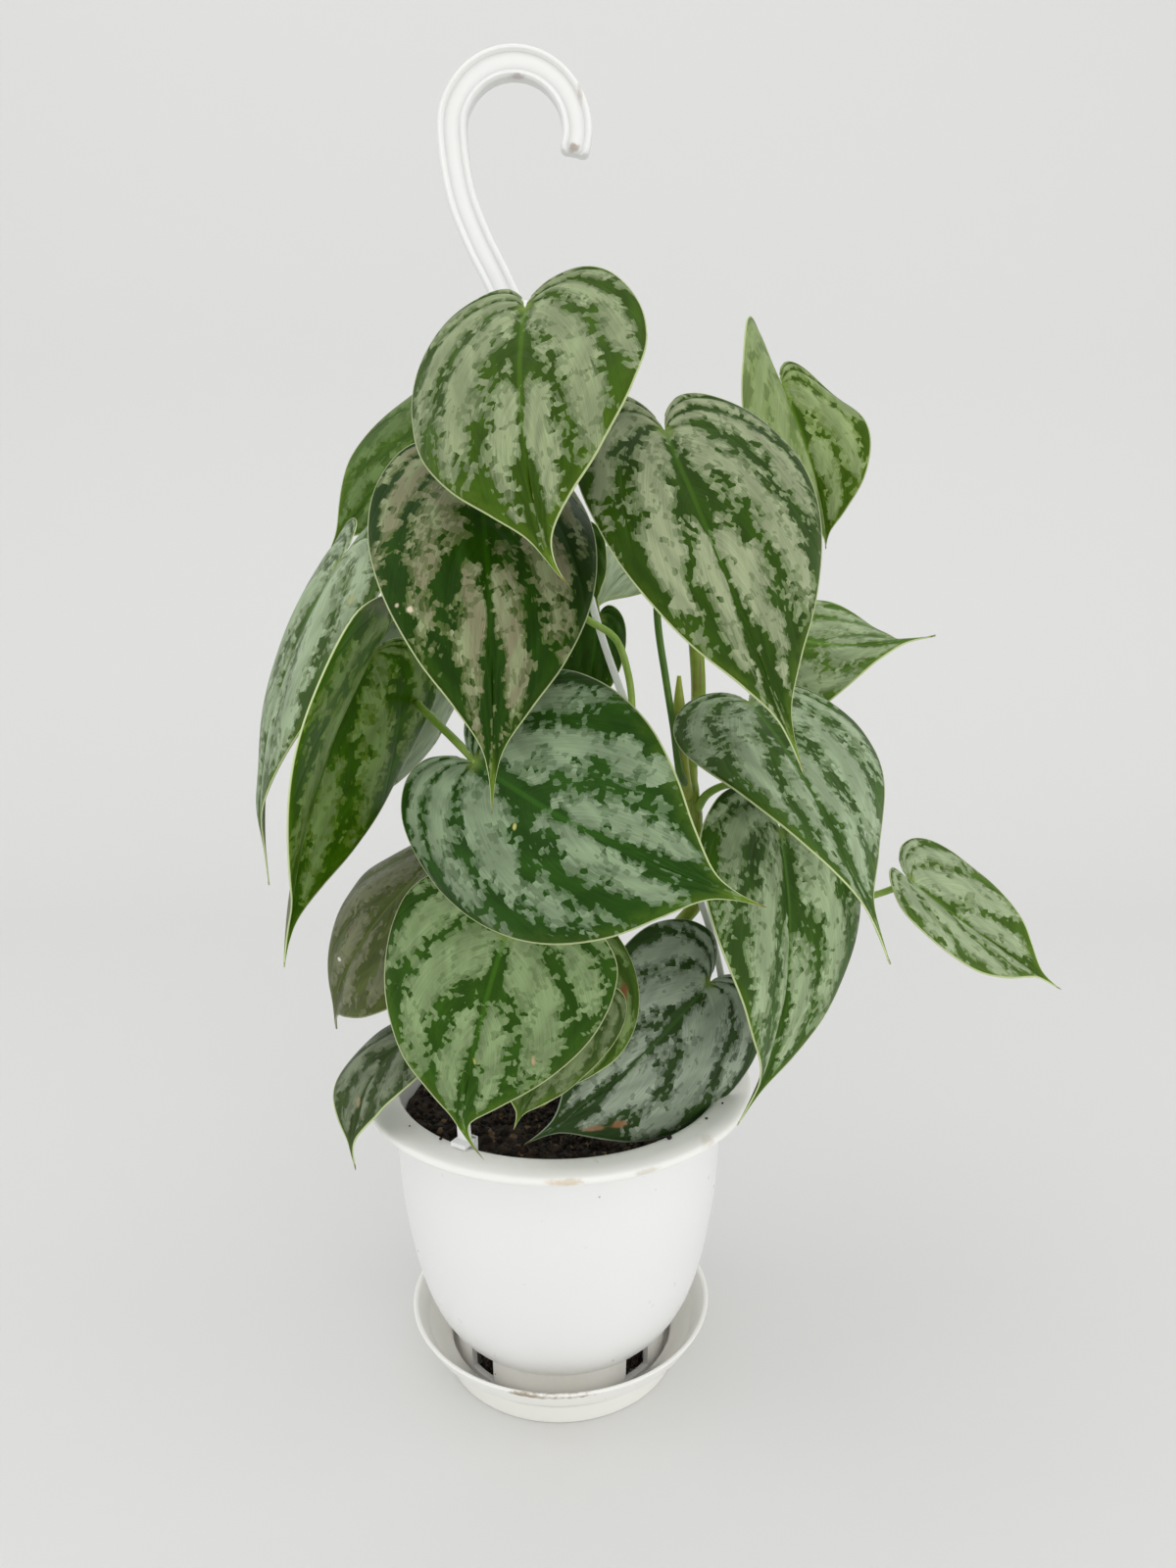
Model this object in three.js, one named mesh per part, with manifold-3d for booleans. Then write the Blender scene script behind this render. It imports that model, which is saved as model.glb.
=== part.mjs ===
// Silver leaf philodendron in a white plastic hanging pot, with its saucer and three-armed hanger.
// Millimetres, +Z up. The origin is the centre of the saucer's flat underside, on the pot's axis.
// The plant faces -Y.
import * as THREE from 'three';
import { mergeVertices } from 'three/addons/utils/BufferGeometryUtils.js';
import Module from 'manifold-3d';

const wasm = await Module();
wasm.setup();

// Driving dimensions of the pot, the saucer and the soil
const RIM_R = 75;
const RIM_INNER_R = 62.6;
const RIM_TOP_Z = 121;
const POT_WALL = 2.2;
const FOOT_R = 42.4;
const FOOT_WALL = 2.2;
const FOOT_Z = 3;
const SEAM_Z = 18.5;
const FLOOR_Z = 20.5;
const SLOT_WIDTH = 12.5;
const SLOT_LOW_Z = 8;
const SLOT_HIGH_Z = 22;
const SLOT_COUNT = 4;
const SAUCER_BASE_R = 46.6;
const SAUCER_RIM_R = 60.1;
const SAUCER_RIM_Z = 23.7;
const SAUCER_WALL = 2;
const SOIL_TOP_Z = 106;
const SOIL_MOUND = 2;
const GAP = 0.35;
const TURN_SIDES = 40;

// Outer wall of the pot from the seam up to the rim, as radius and height
const POT_OUTER = [
  [43.6, SEAM_Z], [46.8, 22], [52, 31], [56.5, 45], [60, 63], [62, 80], [62.8, 98], [63.2, 116],
];

// Driving dimensions of the hanger
const HUB = new THREE.Vector3(-10, 0, 395);
const HUB_R = 8;
const HUB_HEIGHT = 7;
const HOOK_R = 20.4;
const HOOK_CENTRE = new THREE.Vector3(-10.4, 0, 453.5);
const HOOK_TIP_ANGLE = -20;
const HOOK_BAR = 9.8;
const HOOK_DEPTH = 8;
const HOOK_GROOVE = 1.2;
const SHAFT_POINTS = [[-11.5, 397], [-17, 409], [-23.5, 422], [-28.5, 436]];
const ARM_WIDTH = 4.8;
const ARM_THICK = 2.6;
const ARM_FOOT_R = 60.6;
const ARM_COUNT = 3;
const CLIP_WIDTH = 8;
const CLIP_THICK = 1.6;
const CLIP_REACH = 5;
const CLIP_DEPTH = 9;
// An arm leaves the hub, bows past the rim's inner edge and stands upright on it: [share of reach, height]
const ARM_ROUTE = [[0.02, 394], [0.16, 352], [0.38, 290], [0.7, 228], [0.97, 172], [1.03, 145], [1, 122.5]];

// Driving dimensions of the plant
const BLADE_THICK = 0.8;
const BLADE_RELIEF = 0.45;
const MIDRIB_DEPTH = 0.6;
const EDGE_WAVE = 0.9;
const EDGE_WAVES = 3;
const CUP = 20;
const STEM_R = { left: 2.2, low: 2.2, right: 2.7 };
const PETIOLE_R = 1.4;
const JOINT_GAP = 0.6;
const STEM_HOLE_R = 3.2;
const STEM_FOOT_Z = 70;
const PETIOLE_SIDES = 6;
const PETIOLE_STEPS = 1.4;
const STEM_SIDES = 8;

// Half outline of a heart-shaped blade with a drip tip. Each point is [along the midrib / blade
// length, across / half width]; it starts in the notch where the petiole joins, and goes round the
// basal lobe and down to the tip.
const HALF_OUTLINE = [
  [0, 0], [-0.07, 0.06], [-0.135, 0.21], [-0.155, 0.44], [-0.115, 0.71], [-0.005, 0.93], [0.14, 1],
  [0.3, 0.965], [0.46, 0.835], [0.62, 0.61], [0.75, 0.36], [0.85, 0.15], [0.92, 0.05], [1, 0],
];
// The first side veins all spring from the notch; the others leave the midrib one after another
const FAN_STATIONS = 6;
const FAN_SPREAD = 0.6;
const VEIN_BOW = 0.22;
const ACROSS = [0, 0.14, 0.42, 0.74, 1];
const ACROSS_SMALL = [0, 0.15, 0.55, 1];
const SMALL_WIDTH = 24;

// A place in the shared frame
function at(x, y, z) {
  return new THREE.Vector3(x, y, z);
}

// A closed three.js geometry as a solid that can be joined and cut
function toSolid(geometry) {
  const bare = geometry.clone();
  bare.deleteAttribute('normal');
  bare.deleteAttribute('uv');
  const merged = mergeVertices(bare, 1e-4);
  const vertProperties = Float32Array.from(merged.attributes.position.array);
  const triVerts = Uint32Array.from(merged.index.array);
  return new wasm.Manifold(new wasm.Mesh({ numProp: 3, vertProperties, triVerts }));
}

// A joined or cut solid back as a three.js geometry
function toGeometry(solid) {
  const mesh = solid.getMesh();
  const geometry = new THREE.BufferGeometry();
  geometry.setAttribute('position', new THREE.BufferAttribute(new Float32Array(mesh.vertProperties), 3));
  geometry.setIndex(new THREE.BufferAttribute(new Uint32Array(mesh.triVerts), 1));
  geometry.computeVertexNormals();
  return geometry;
}

// A turned body from a closed profile of [radius, height] points, its axis along Z
function turned(profile, sides = TURN_SIDES) {
  const points = profile.map(([r, z]) => new THREE.Vector2(r, z));
  const geometry = new THREE.LatheGeometry(points, sides);
  geometry.rotateX(Math.PI / 2);
  return geometry;
}

// A round bar along a curve
function bar(points, radius, sides, steps) {
  const section = new THREE.Shape();
  for (let i = 0; i < sides; i += 1) {
    const a = (2 * Math.PI * i) / sides;
    const x = radius * Math.cos(a);
    const y = radius * Math.sin(a);
    if (i === 0) section.moveTo(x, y);
    else section.lineTo(x, y);
  }
  const path = new THREE.CatmullRomCurve3(points, false, 'centripetal');
  return new THREE.ExtrudeGeometry(section, { steps, extrudePath: path, bevelEnabled: false });
}

// The pot: a bowl-shaped wall, a rolled rim, a floor and a foot ring with four drain slots
function pot() {
  const lowest = POT_OUTER[0];
  const inner = POT_OUTER.slice(1).reverse().map(([r, z]) => [r - POT_WALL, z]);
  const profile = [
    [0, FLOOR_Z - POT_WALL],
    [FOOT_R - FOOT_WALL, FLOOR_Z - POT_WALL],
    [FOOT_R - FOOT_WALL, FOOT_Z],
    [FOOT_R, FOOT_Z],
    [FOOT_R + 0.4, SEAM_Z - 0.4],
    ...POT_OUTER,
    [RIM_R - 9, RIM_TOP_Z - 4.2],
    [RIM_R - 1.6, RIM_TOP_Z - 4.6],
    [RIM_R - 0.3, RIM_TOP_Z - 3.8],
    [RIM_R, RIM_TOP_Z - 2.4],
    [RIM_R - 1, RIM_TOP_Z - 0.9],
    [RIM_R - 4, RIM_TOP_Z - 0.1],
    [RIM_R - 9, RIM_TOP_Z],
    [RIM_INNER_R, RIM_TOP_Z - 0.8],
    ...inner,
    [lowest[0] - POT_WALL, FLOOR_Z],
    [0, FLOOR_Z],
  ];
  let solid = toSolid(turned(profile));
  for (let i = 0; i < SLOT_COUNT; i += 1) {
    const cutter = new THREE.BoxGeometry(18, SLOT_WIDTH, SLOT_HIGH_Z - SLOT_LOW_Z);
    cutter.translate(FOOT_R + 2, 0, (SLOT_LOW_Z + SLOT_HIGH_Z) / 2);
    cutter.rotateZ(Math.PI / 4 + (i * 2 * Math.PI) / SLOT_COUNT);
    solid = solid.subtract(toSolid(cutter));
  }
  return toGeometry(solid);
}

// The saucer: a shallow stepped dish that the foot ring stands in
function saucer() {
  const floorZ = FOOT_Z - GAP;
  return turned([
    [0, 0],
    [SAUCER_BASE_R - 0.8, 0],
    [SAUCER_BASE_R, 0.8],
    [SAUCER_BASE_R + 1, 8],
    [SAUCER_BASE_R + 2.6, 9.4],
    [SAUCER_RIM_R - 4.6, 15.5],
    [SAUCER_RIM_R - 0.6, SAUCER_RIM_Z - 1.2],
    [SAUCER_RIM_R, SAUCER_RIM_Z - 0.4],
    [SAUCER_RIM_R - 0.6, SAUCER_RIM_Z],
    [SAUCER_RIM_R - SAUCER_WALL, SAUCER_RIM_Z - 0.6],
    [SAUCER_RIM_R - 4.6 - SAUCER_WALL, 16.4],
    [SAUCER_BASE_R + 0.6, 11],
    [SAUCER_BASE_R - SAUCER_WALL, 9.4],
    [SAUCER_BASE_R - SAUCER_WALL - 0.6, floorZ],
    [0, floorZ],
  ]);
}

// The soil fills the pot to below the rim, with a plain hole round the foot of each stem
function soil(stemPlaces) {
  const wall = [2, 3, 5].map((i) => [POT_OUTER[i][0] - POT_WALL - GAP, POT_OUTER[i][1]]);
  const edgeR = POT_OUTER[6][0] - POT_WALL - GAP;
  const profile = [
    [0, FLOOR_Z + GAP],
    [POT_OUTER[0][0] - POT_WALL - GAP - 0.3, FLOOR_Z + GAP],
    ...wall,
    [edgeR, SOIL_TOP_Z - 1],
    [edgeR * 0.8, SOIL_TOP_Z],
    [edgeR * 0.4, SOIL_TOP_Z + SOIL_MOUND * 0.8],
    [0, SOIL_TOP_Z + SOIL_MOUND],
  ];
  let solid = toSolid(turned(profile));
  for (const place of stemPlaces) {
    const height = SOIL_TOP_Z + 20 - STEM_FOOT_Z + 2 * GAP;
    const hole = new THREE.CylinderGeometry(STEM_HOLE_R, STEM_HOLE_R, height, 12);
    hole.rotateX(Math.PI / 2);
    hole.translate(place.x, place.y, STEM_FOOT_Z - GAP + height / 2);
    solid = solid.subtract(toSolid(hole));
  }
  return toGeometry(solid);
}

// Section of the hook's bar: rounded, with a shallow groove down the front and the back
function hookSection() {
  const a = HOOK_BAR / 2;
  const b = HOOK_DEPTH / 2;
  const quarter = [[a, 0], [a, b * 0.55], [a * 0.8, b], [a * 0.58, b], [a * 0.42, b - HOOK_GROOVE], [0, b - HOOK_GROOVE * 0.7]];
  const upper = [...quarter, ...quarter.slice(0, -1).reverse().map(([x, y]) => [-x, y])];
  const lower = upper.slice(1, -1).reverse().map(([x, y]) => [x, -y]);
  const shape = new THREE.Shape();
  [...upper, ...lower].forEach(([x, y], i) => (i === 0 ? shape.moveTo(y, x) : shape.lineTo(y, x)));
  return shape;
}

// Route of the hook: up the slanting shaft, round the arch and down to its open end
function hookRoute() {
  const points = SHAFT_POINTS.map(([x, z]) => at(x, 0, z));
  for (let angle = 170; angle >= HOOK_TIP_ANGLE; angle -= 19) {
    const a = THREE.MathUtils.degToRad(angle);
    points.push(at(HOOK_CENTRE.x + HOOK_R * Math.cos(a), 0, HOOK_CENTRE.z + HOOK_R * Math.sin(a)));
  }
  return new THREE.CatmullRomCurve3(points, false, 'centripetal');
}

// One arm: a strap from the hub down to a clip over the rim's inner edge
function hangerArm(angle) {
  const out = at(Math.cos(angle), Math.sin(angle), 0);
  const foot = out.clone().multiplyScalar(ARM_FOOT_R + CLIP_THICK);
  const points = ARM_ROUTE.map(([share, z]) => at(
    HUB.x + share * (foot.x - HUB.x),
    HUB.y + share * (foot.y - HUB.y),
    z,
  ));
  const side = at(-Math.sin(angle), Math.cos(angle), 0);
  const path = new THREE.CatmullRomCurve3(points, false, 'centripetal');
  const strap = strapAlong(path, side, ARM_WIDTH, ARM_THICK, 10);
  const topZ = RIM_TOP_Z + GAP;
  const over = new THREE.BoxGeometry(CLIP_REACH + CLIP_THICK, CLIP_WIDTH, CLIP_THICK);
  over.translate(RIM_INNER_R + (CLIP_REACH - CLIP_THICK) / 2 - 1.2, 0, topZ + CLIP_THICK / 2);
  const tab = new THREE.BoxGeometry(CLIP_THICK, CLIP_WIDTH, CLIP_DEPTH);
  tab.translate(POT_OUTER[7][0] - POT_WALL - 2 * GAP - CLIP_THICK / 2, 0, topZ + CLIP_THICK - CLIP_DEPTH / 2);
  over.rotateZ(angle);
  tab.rotateZ(angle);
  return toSolid(strap).add(toSolid(over)).add(toSolid(tab));
}

// A flat strap along a path; its width always lies along the given side direction
function strapAlong(path, side, width, thick, steps) {
  const positions = [];
  const index = [];
  for (let i = 0; i <= steps; i += 1) {
    const centre = path.getPointAt(i / steps);
    const tangent = path.getTangentAt(i / steps);
    const out = new THREE.Vector3().crossVectors(side, tangent).normalize();
    for (const [u, v] of [[-1, -0.6], [-0.7, -1], [0.7, -1], [1, -0.6], [1, 0.6], [0.7, 1], [-0.7, 1], [-1, 0.6]]) {
      const p = centre.clone().addScaledVector(side, (u * width) / 2).addScaledVector(out, (v * thick) / 2);
      positions.push(p.x, p.y, p.z);
    }
  }
  const ring = 8;
  for (let i = 0; i < steps; i += 1) {
    for (let k = 0; k < ring; k += 1) {
      const a = i * ring + k;
      const b = i * ring + ((k + 1) % ring);
      index.push(a, b + ring, b, a, a + ring, b + ring);
    }
  }
  for (let k = 1; k < ring - 1; k += 1) {
    index.push(0, k, k + 1);
    index.push(steps * ring, steps * ring + k + 1, steps * ring + k);
  }
  const geometry = new THREE.BufferGeometry();
  geometry.setAttribute('position', new THREE.Float32BufferAttribute(positions, 3));
  geometry.setIndex(index);
  return geometry;
}

// The hanger, moulded in one piece: hook, hub and three arms
function hanger() {
  const bend = new THREE.ExtrudeGeometry(hookSection(), {
    steps: 18,
    extrudePath: hookRoute(),
    bevelEnabled: false,
  });
  const hub = turned([
    [0, -HUB_HEIGHT / 2], [HUB_R * 0.8, -HUB_HEIGHT / 2], [HUB_R, -HUB_HEIGHT / 4],
    [HUB_R, HUB_HEIGHT / 4], [HUB_R * 0.7, HUB_HEIGHT], [0, HUB_HEIGHT],
  ], 16);
  hub.translate(HUB.x, HUB.y, HUB.z);
  let solid = toSolid(bend).add(toSolid(hub));
  for (let i = 0; i < ARM_COUNT; i += 1) {
    solid = solid.add(hangerArm((i * 2 * Math.PI) / ARM_COUNT));
  }
  return toGeometry(solid);
}

// Half outline at station s, from 0 in the notch to 1 at the tip, as [along, across]
const outlineCurve = new THREE.SplineCurve(HALF_OUTLINE.map(([f, g]) => new THREE.Vector2(f, g)));
const LAST = HALF_OUTLINE.length - 1;
const FAN_END = FAN_STATIONS / LAST;

// Flat place on a half blade: s picks the side vein, t goes along it from the midrib to the margin
function flatPlace(s, t, lobe) {
  const margin = outlineCurve.getPoint(s);
  const along = margin.x < 0 ? margin.x * lobe : margin.x;
  const root = s > FAN_END ? ((s - FAN_END) / (1 - FAN_END)) ** 1.2 : 0;
  const bow = VEIN_BOW * t * (1 - t) * margin.y;
  return [root * (1 - t) + along * t - bow, margin.y * t];
}

// Directions of a blade: its chord, its upper face and across
function bladeAxes(leaf) {
  const chord = new THREE.Vector3().subVectors(leaf.tip, leaf.base);
  const along = chord.clone().normalize();
  const face = leaf.face.clone().addScaledVector(along, -leaf.face.dot(along)).normalize();
  const across = new THREE.Vector3().crossVectors(face, along);
  return { chord, face, across };
}

// Frame of a blade at share f of its midrib: a point on the midrib, the way across and the way up
function bladeFrame(leaf, f) {
  const { chord, face, across } = bladeAxes(leaf);
  const curve = 4 * f * (1 - f);
  const turn = 4 - 8 * f;
  const tipShare = Math.max(0, (f - 0.84) / 0.16) ** 2;
  const [curlSide, curlDown] = leaf.curl ?? [0, 0];
  const centre = leaf.base.clone().addScaledVector(chord, f)
    .addScaledVector(face, curve * leaf.arch - tipShare * curlDown)
    .addScaledVector(across, curve * leaf.bend + tipShare * curlSide);
  const tangent = chord.clone().addScaledVector(face, turn * leaf.arch)
    .addScaledVector(across, turn * leaf.bend).normalize();
  const wide = new THREE.Vector3().crossVectors(face, tangent).normalize();
  wide.applyAxisAngle(tangent, THREE.MathUtils.degToRad(leaf.twist ?? 0) * (f - 0.2));
  const up = new THREE.Vector3().crossVectors(tangent, wide);
  return { centre, wide, up };
}

// Place of a blade's middle surface, from side (-1 or 1), station s and share t
function bladePlace(leaf, side, s, t) {
  const k = side < 0 ? 0 : 1;
  const [f, g] = flatPlace(s, t, leaf.lobe[k]);
  const slope = THREE.MathUtils.degToRad(leaf.fold[k] - CUP * g);
  const reach = leaf.width[k] * g;
  const relief = -BLADE_RELIEF * Math.cos(Math.PI * LAST * s) * 4 * t * (1 - t) * Math.min(1, 6 * g);
  const midrib = -MIDRIB_DEPTH * Math.exp(-((t / 0.1) ** 2)) * THREE.MathUtils.clamp(Math.min(8 * f, 4 - 4 * f), 0, 1);
  const wave = EDGE_WAVE * Math.sin(2 * Math.PI * (EDGE_WAVES * s + leaf.phase + 0.3 * k)) * t * t * g;
  const lift = reach * Math.sin(slope) + relief + midrib + wave;
  const { centre, wide, up } = bladeFrame(leaf, f);
  return centre.addScaledVector(wide, side * reach * Math.cos(slope)).addScaledVector(up, lift);
}

// A blade as one thin closed solid, its two faces split into triangles alike
function blade(leaf) {
  const steps = Math.max(...leaf.width) < SMALL_WIDTH ? ACROSS_SMALL : ACROSS;
  const places = [bladePlace(leaf, 1, 0, 0)];
  const number = new Map();
  const key = (side, i, j) => {
    if (j === 0 && i <= FAN_STATIONS) return 'root';
    if (i === LAST) return 'tip';
    return j === 0 ? `mid ${i}` : `${side} ${i} ${j}`;
  };
  number.set('root', 0);
  const vertex = (side, i, j) => {
    const name = key(side, i, j);
    if (!number.has(name)) {
      number.set(name, places.length);
      places.push(bladePlace(leaf, side, i / LAST, i <= FAN_STATIONS ? steps[j] ** FAN_SPREAD : steps[j]));
    }
    return number.get(name);
  };
  const faces = [];
  const addFace = (a, b, c, side) => {
    if (a === b || b === c || a === c) return;
    faces.push(side > 0 ? [a, b, c] : [a, c, b]);
  };
  for (const side of [1, -1]) {
    for (let i = 1; i < LAST; i += 1) {
      for (let j = 0; j < steps.length - 1; j += 1) {
        const a = vertex(side, i, j);
        const b = vertex(side, i + 1, j);
        const c = vertex(side, i + 1, j + 1);
        const d = vertex(side, i, j + 1);
        addFace(a, b, i < FAN_STATIONS ? d : c, side);
        addFace(i < FAN_STATIONS ? b : a, c, d, side);
      }
    }
  }
  return thicken(places, faces, BLADE_THICK);
}

// A sheet of triangles thickened evenly to both sides and closed along its edge
function thicken(places, faces, thick) {
  const normals = places.map(() => new THREE.Vector3());
  for (const [a, b, c] of faces) {
    const ab = new THREE.Vector3().subVectors(places[b], places[a]);
    const ac = new THREE.Vector3().subVectors(places[c], places[a]);
    const normal = ab.cross(ac);
    for (const v of [a, b, c]) normals[v].add(normal);
  }
  const count = places.length;
  const positions = [];
  for (const half of [0.5, -0.5]) {
    places.forEach((place, i) => {
      const p = place.clone().addScaledVector(normals[i].clone().normalize(), half * thick);
      positions.push(p.x, p.y, p.z);
    });
  }
  const index = [];
  const open = new Map();
  for (const [a, b, c] of faces) {
    index.push(a, b, c, count + a, count + c, count + b);
    for (const [from, to] of [[a, b], [b, c], [c, a]]) {
      if (open.has(`${to} ${from}`)) open.delete(`${to} ${from}`);
      else open.set(`${from} ${to}`, [from, to]);
    }
  }
  for (const [from, to] of open.values()) {
    index.push(from, count + from, count + to, from, count + to, to);
  }
  const geometry = new THREE.BufferGeometry();
  geometry.setAttribute('position', new THREE.Float32BufferAttribute(positions, 3));
  geometry.setIndex(index);
  geometry.computeVertexNormals();
  return geometry;
}

// The stems, from their foot in the soil upwards
const STEMS = {
  left: [
    at(-8, 4, STEM_FOOT_Z), at(-8, 4, 98), at(-8, 4, 116), at(-5, 6, 160), at(-9, 9, 205), at(-5, 6, 250),
    at(-9, 5, 300), at(-9, 1, 345),
  ],
  low: [at(5, -8, STEM_FOOT_Z), at(5, -8, 98), at(5, -8, 116), at(3, -7, 150), at(2, -5, 185), at(5, -4, 207)],
  right: [
    at(30, 8, STEM_FOOT_Z), at(30, 8, 98), at(30, 8, 116), at(33, 8, 147), at(40, 8, 168), at(47, 8, 178),
    at(54, 8, 188), at(53, 8, 215), at(50, 8, 241), at(53, 8, 264), at(51, 8, 300), at(51, 10, 335),
  ],
};

// The leaves. base is where the petiole joins, tip the end of the blade, face the way its upper side
// looks; width, fold and lobe are [left half, right half] in millimetres, degrees and shares of the
// usual lobe; arch and bend are how far the midrib bows towards the face and sideways, in millimetres.
// petiole lists the places the leaf's stalk passes from its stem to just short of the blade's back.
const LEAVES = [
  {
    name: 'leaf_01', vine: 'left', base: at(-5, -62, 390.5), tip: at(2.5, -105, 317.5), face: at(-0.4, -0.8, 0.45),
    width: [40, 35], fold: [10, 2], arch: 9, bend: -1, lobe: [1.1, 1.1], phase: 0.1, curl: [3, 0],
    petiole: [at(-9, 2, 338), at(-5, -12, 356), at(-3, -33, 374), at(-4, -52, 383)],
  },
  {
    name: 'leaf_02', vine: 'low', base: at(-21, -50, 347), tip: at(-15, -100, 253), face: at(0.2, -0.85, 0.5),
    width: [35, 37], fold: [0, 3], arch: 15, bend: 0, lobe: [1, 1], phase: 0.45,
    petiole: [
      at(5, -4, 205), at(16, -6, 226), at(26, -7, 250), at(28, -7, 264), at(26.5, -7, 278), at(22, -7, 290),
      at(12, -8, 297), at(0, -12, 307), at(-12, -22, 325), at(-18, -37, 340),
    ],
  },
  {
    name: 'leaf_03', vine: 'right', base: at(35.5, -60, 356.5), tip: at(73, -98, 261.5), face: at(0.2, -0.9, 0.45),
    width: [30, 46], fold: [11, 3], arch: 15, bend: -6, lobe: [1.1, 1.1], twist: -22, phase: 0.7,
    petiole: [
      at(51, 8, 231), at(46, -2, 240), at(43, -5, 258), at(40, -5, 276), at(37, -6, 296), at(36, -16, 322),
      at(36, -38, 344),
    ],
  },
  {
    name: 'leaf_04', vine: 'right', base: at(83.5, 30, 381), tip: at(105, 44, 318.5), face: at(0.4, -0.9, -0.1),
    width: [29, 29], fold: [42, 10], arch: 13, bend: -4, lobe: [1.1, 1.1], twist: 50, phase: 0.2,
    petiole: [at(51, 10, 328), at(60, 22, 348), at(72, 34, 366)],
  },
  {
    name: 'leaf_05', vine: 'left', base: at(-35, 34, 370), tip: at(-88, 36, 315), face: at(-0.3, -0.8, 0.55),
    width: [32, 30], fold: [4, 10], arch: 4, bend: -1, lobe: [1, 1], twist: -8, phase: 0.35,
    petiole: [at(-9, 4, 312), at(-20, 10, 322), at(-32, 30, 334), at(-34, 44, 352)],
  },
  {
    name: 'leaf_06', vine: 'left', base: at(-73, -10, 316.5), tip: at(-99.5, -29, 207), face: at(-0.85, -0.45, 0.3),
    width: [43, 41], fold: [8, 12], arch: 11, bend: 0, lobe: [1, 1], twist: 11, phase: 0.6,
    petiole: [at(-7, 6, 275), at(-24, 8, 292), at(-44, 6, 312), at(-60, -2, 322)],
  },
  {
    name: 'leaf_07', vine: 'left', base: at(-58.5, -35, 289), tip: at(-91, -48, 184), face: at(0.7, -0.7, -0.15),
    width: [46, 43], fold: [60, 7], arch: 2, bend: -9, lobe: [0.7, 0.7], twist: -7, phase: 0.9,
    petiole: [at(-9, 5, 296), at(-25, 8, 308), at(-45, 4, 309), at(-60, -12, 303), at(-66, -26, 295)],
  },
  {
    name: 'leaf_08', vine: 'left', base: at(-39, 14, 281), tip: at(-79, 2, 219), face: at(0.65, -0.7, -0.2),
    width: [30, 29], fold: [9, -6], arch: 3, bend: -1, lobe: [1, 1], phase: 0.15,
    petiole: [at(-9, 4, 310), at(-20, 8, 317), at(-34, 18, 312), at(-43, 24, 297)],
  },
  {
    name: 'leaf_09', vine: 'left', base: at(-20.5, -85, 262.5), tip: at(59, -128, 232.5), face: at(-0.45, -0.8, 0.4),
    width: [42, 41], fold: [3, 2], arch: 6, bend: -3, lobe: [1.3, 1], twist: 4, phase: 0.5,
    petiole: [
      at(-7, 8, 232), at(-22, 14, 244), at(-35, 12, 254), at(-42, 2, 259), at(-37, -14, 259), at(-29, -56, 261),
    ],
  },
  {
    name: 'leaf_10', vine: 'low', base: at(-13.5, -79, 206.5), tip: at(-31.5, -67, 127), face: at(-0.1, -0.95, -0.25),
    width: [38, 39], fold: [0, 10], arch: 3, bend: -2, lobe: [1.1, 1.1], twist: -9, phase: 0.25, curl: [5, 0],
    petiole: [at(2, -6, 175), at(-2, -25, 192), at(-8, -50, 205)],
  },
  {
    name: 'leaf_11', vine: 'low', base: at(-45.5, -8, 208.5), tip: at(-86, 2, 138), face: at(-0.75, -0.55, 0.35),
    width: [41, 37], fold: [3, 10], arch: 14, bend: 6, lobe: [1, 1], twist: -11, phase: 0.8,
    petiole: [at(3, -7, 158), at(-12, 0, 184), at(-28, 2, 201)],
  },
  {
    name: 'leaf_12', vine: 'low', base: at(-49.5, -25, 149.5), tip: at(-71, -51, 110), face: at(-0.7, -0.4, 0.6),
    width: [23, 21], fold: [16, 14], arch: 9, bend: -1, lobe: [1, 1], twist: -25, phase: 0.05,
    petiole: [at(4, -8, 128), at(-14, -12, 138), at(-34, -18, 143)],
  },
  {
    name: 'leaf_13', vine: 'low', base: at(11, -60, 177), tip: at(-14, -57, 128), face: at(0, -1, -0.1),
    width: [24, 18], fold: [17, 6], arch: 3, bend: -2, lobe: [1, 1], phase: 0.55,
    petiole: [at(4, -7, 140), at(-9, -22, 160), at(-15, -43, 175), at(0, -57, 181)],
  },
  {
    name: 'leaf_14', vine: 'right', base: at(55.5, -20, 165.5), tip: at(-11, -52, 119), face: at(0.36, -0.93, 0.09),
    width: [33, 37], fold: [7, 13], arch: 5, bend: 2, lobe: [1, 0.9], twist: 9, phase: 0.65,
    petiole: [at(36, 8, 158), at(47, 4, 170), at(56, -7, 173)],
  },
  {
    name: 'leaf_15', vine: 'right', base: at(68, -20, 269), tip: at(100, -100, 205), face: at(0.4, -0.5, 0.8),
    width: [30, 45], fold: [-6, 14], arch: 11, bend: -6, lobe: [0.8, 0.8], twist: -45, phase: 0.4,
    petiole: [at(50, 8, 238), at(56, 4, 252), at(63, -8, 264)],
  },
  {
    name: 'leaf_16', vine: 'right', base: at(79, -25, 224), tip: at(64.5, -42, 120.5), face: at(0.65, -0.75, 0),
    width: [47, 43], fold: [26, 19], arch: 11, bend: 2, lobe: [0.9, 0.9], twist: -17, phase: 0.3,
    petiole: [at(52, 8, 222), at(57, 4, 231), at(66, -4, 236), at(75, -14, 230)],
  },
  {
    name: 'leaf_17', vine: 'right', base: at(133, 0, 197.5), tip: at(190, -8, 157), face: at(0.37, -0.65, 0.66),
    width: [30, 29], fold: [42, 15], arch: 1, bend: -2, lobe: [0.9, 0.9], twist: 17, phase: 0.75,
    petiole: [at(54, 8, 196), at(75, 10, 188), at(100, 6, 187), at(120, 3, 191)],
  },
  {
    name: 'leaf_18', vine: 'right', base: at(90, 45, 285), tip: at(136, -3, 290), face: at(-0.63, -0.55, 0.55),
    width: [30, 29], fold: [3, -21], arch: 2, bend: -5, lobe: [1, 1], twist: -45, phase: 0.95,
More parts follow.
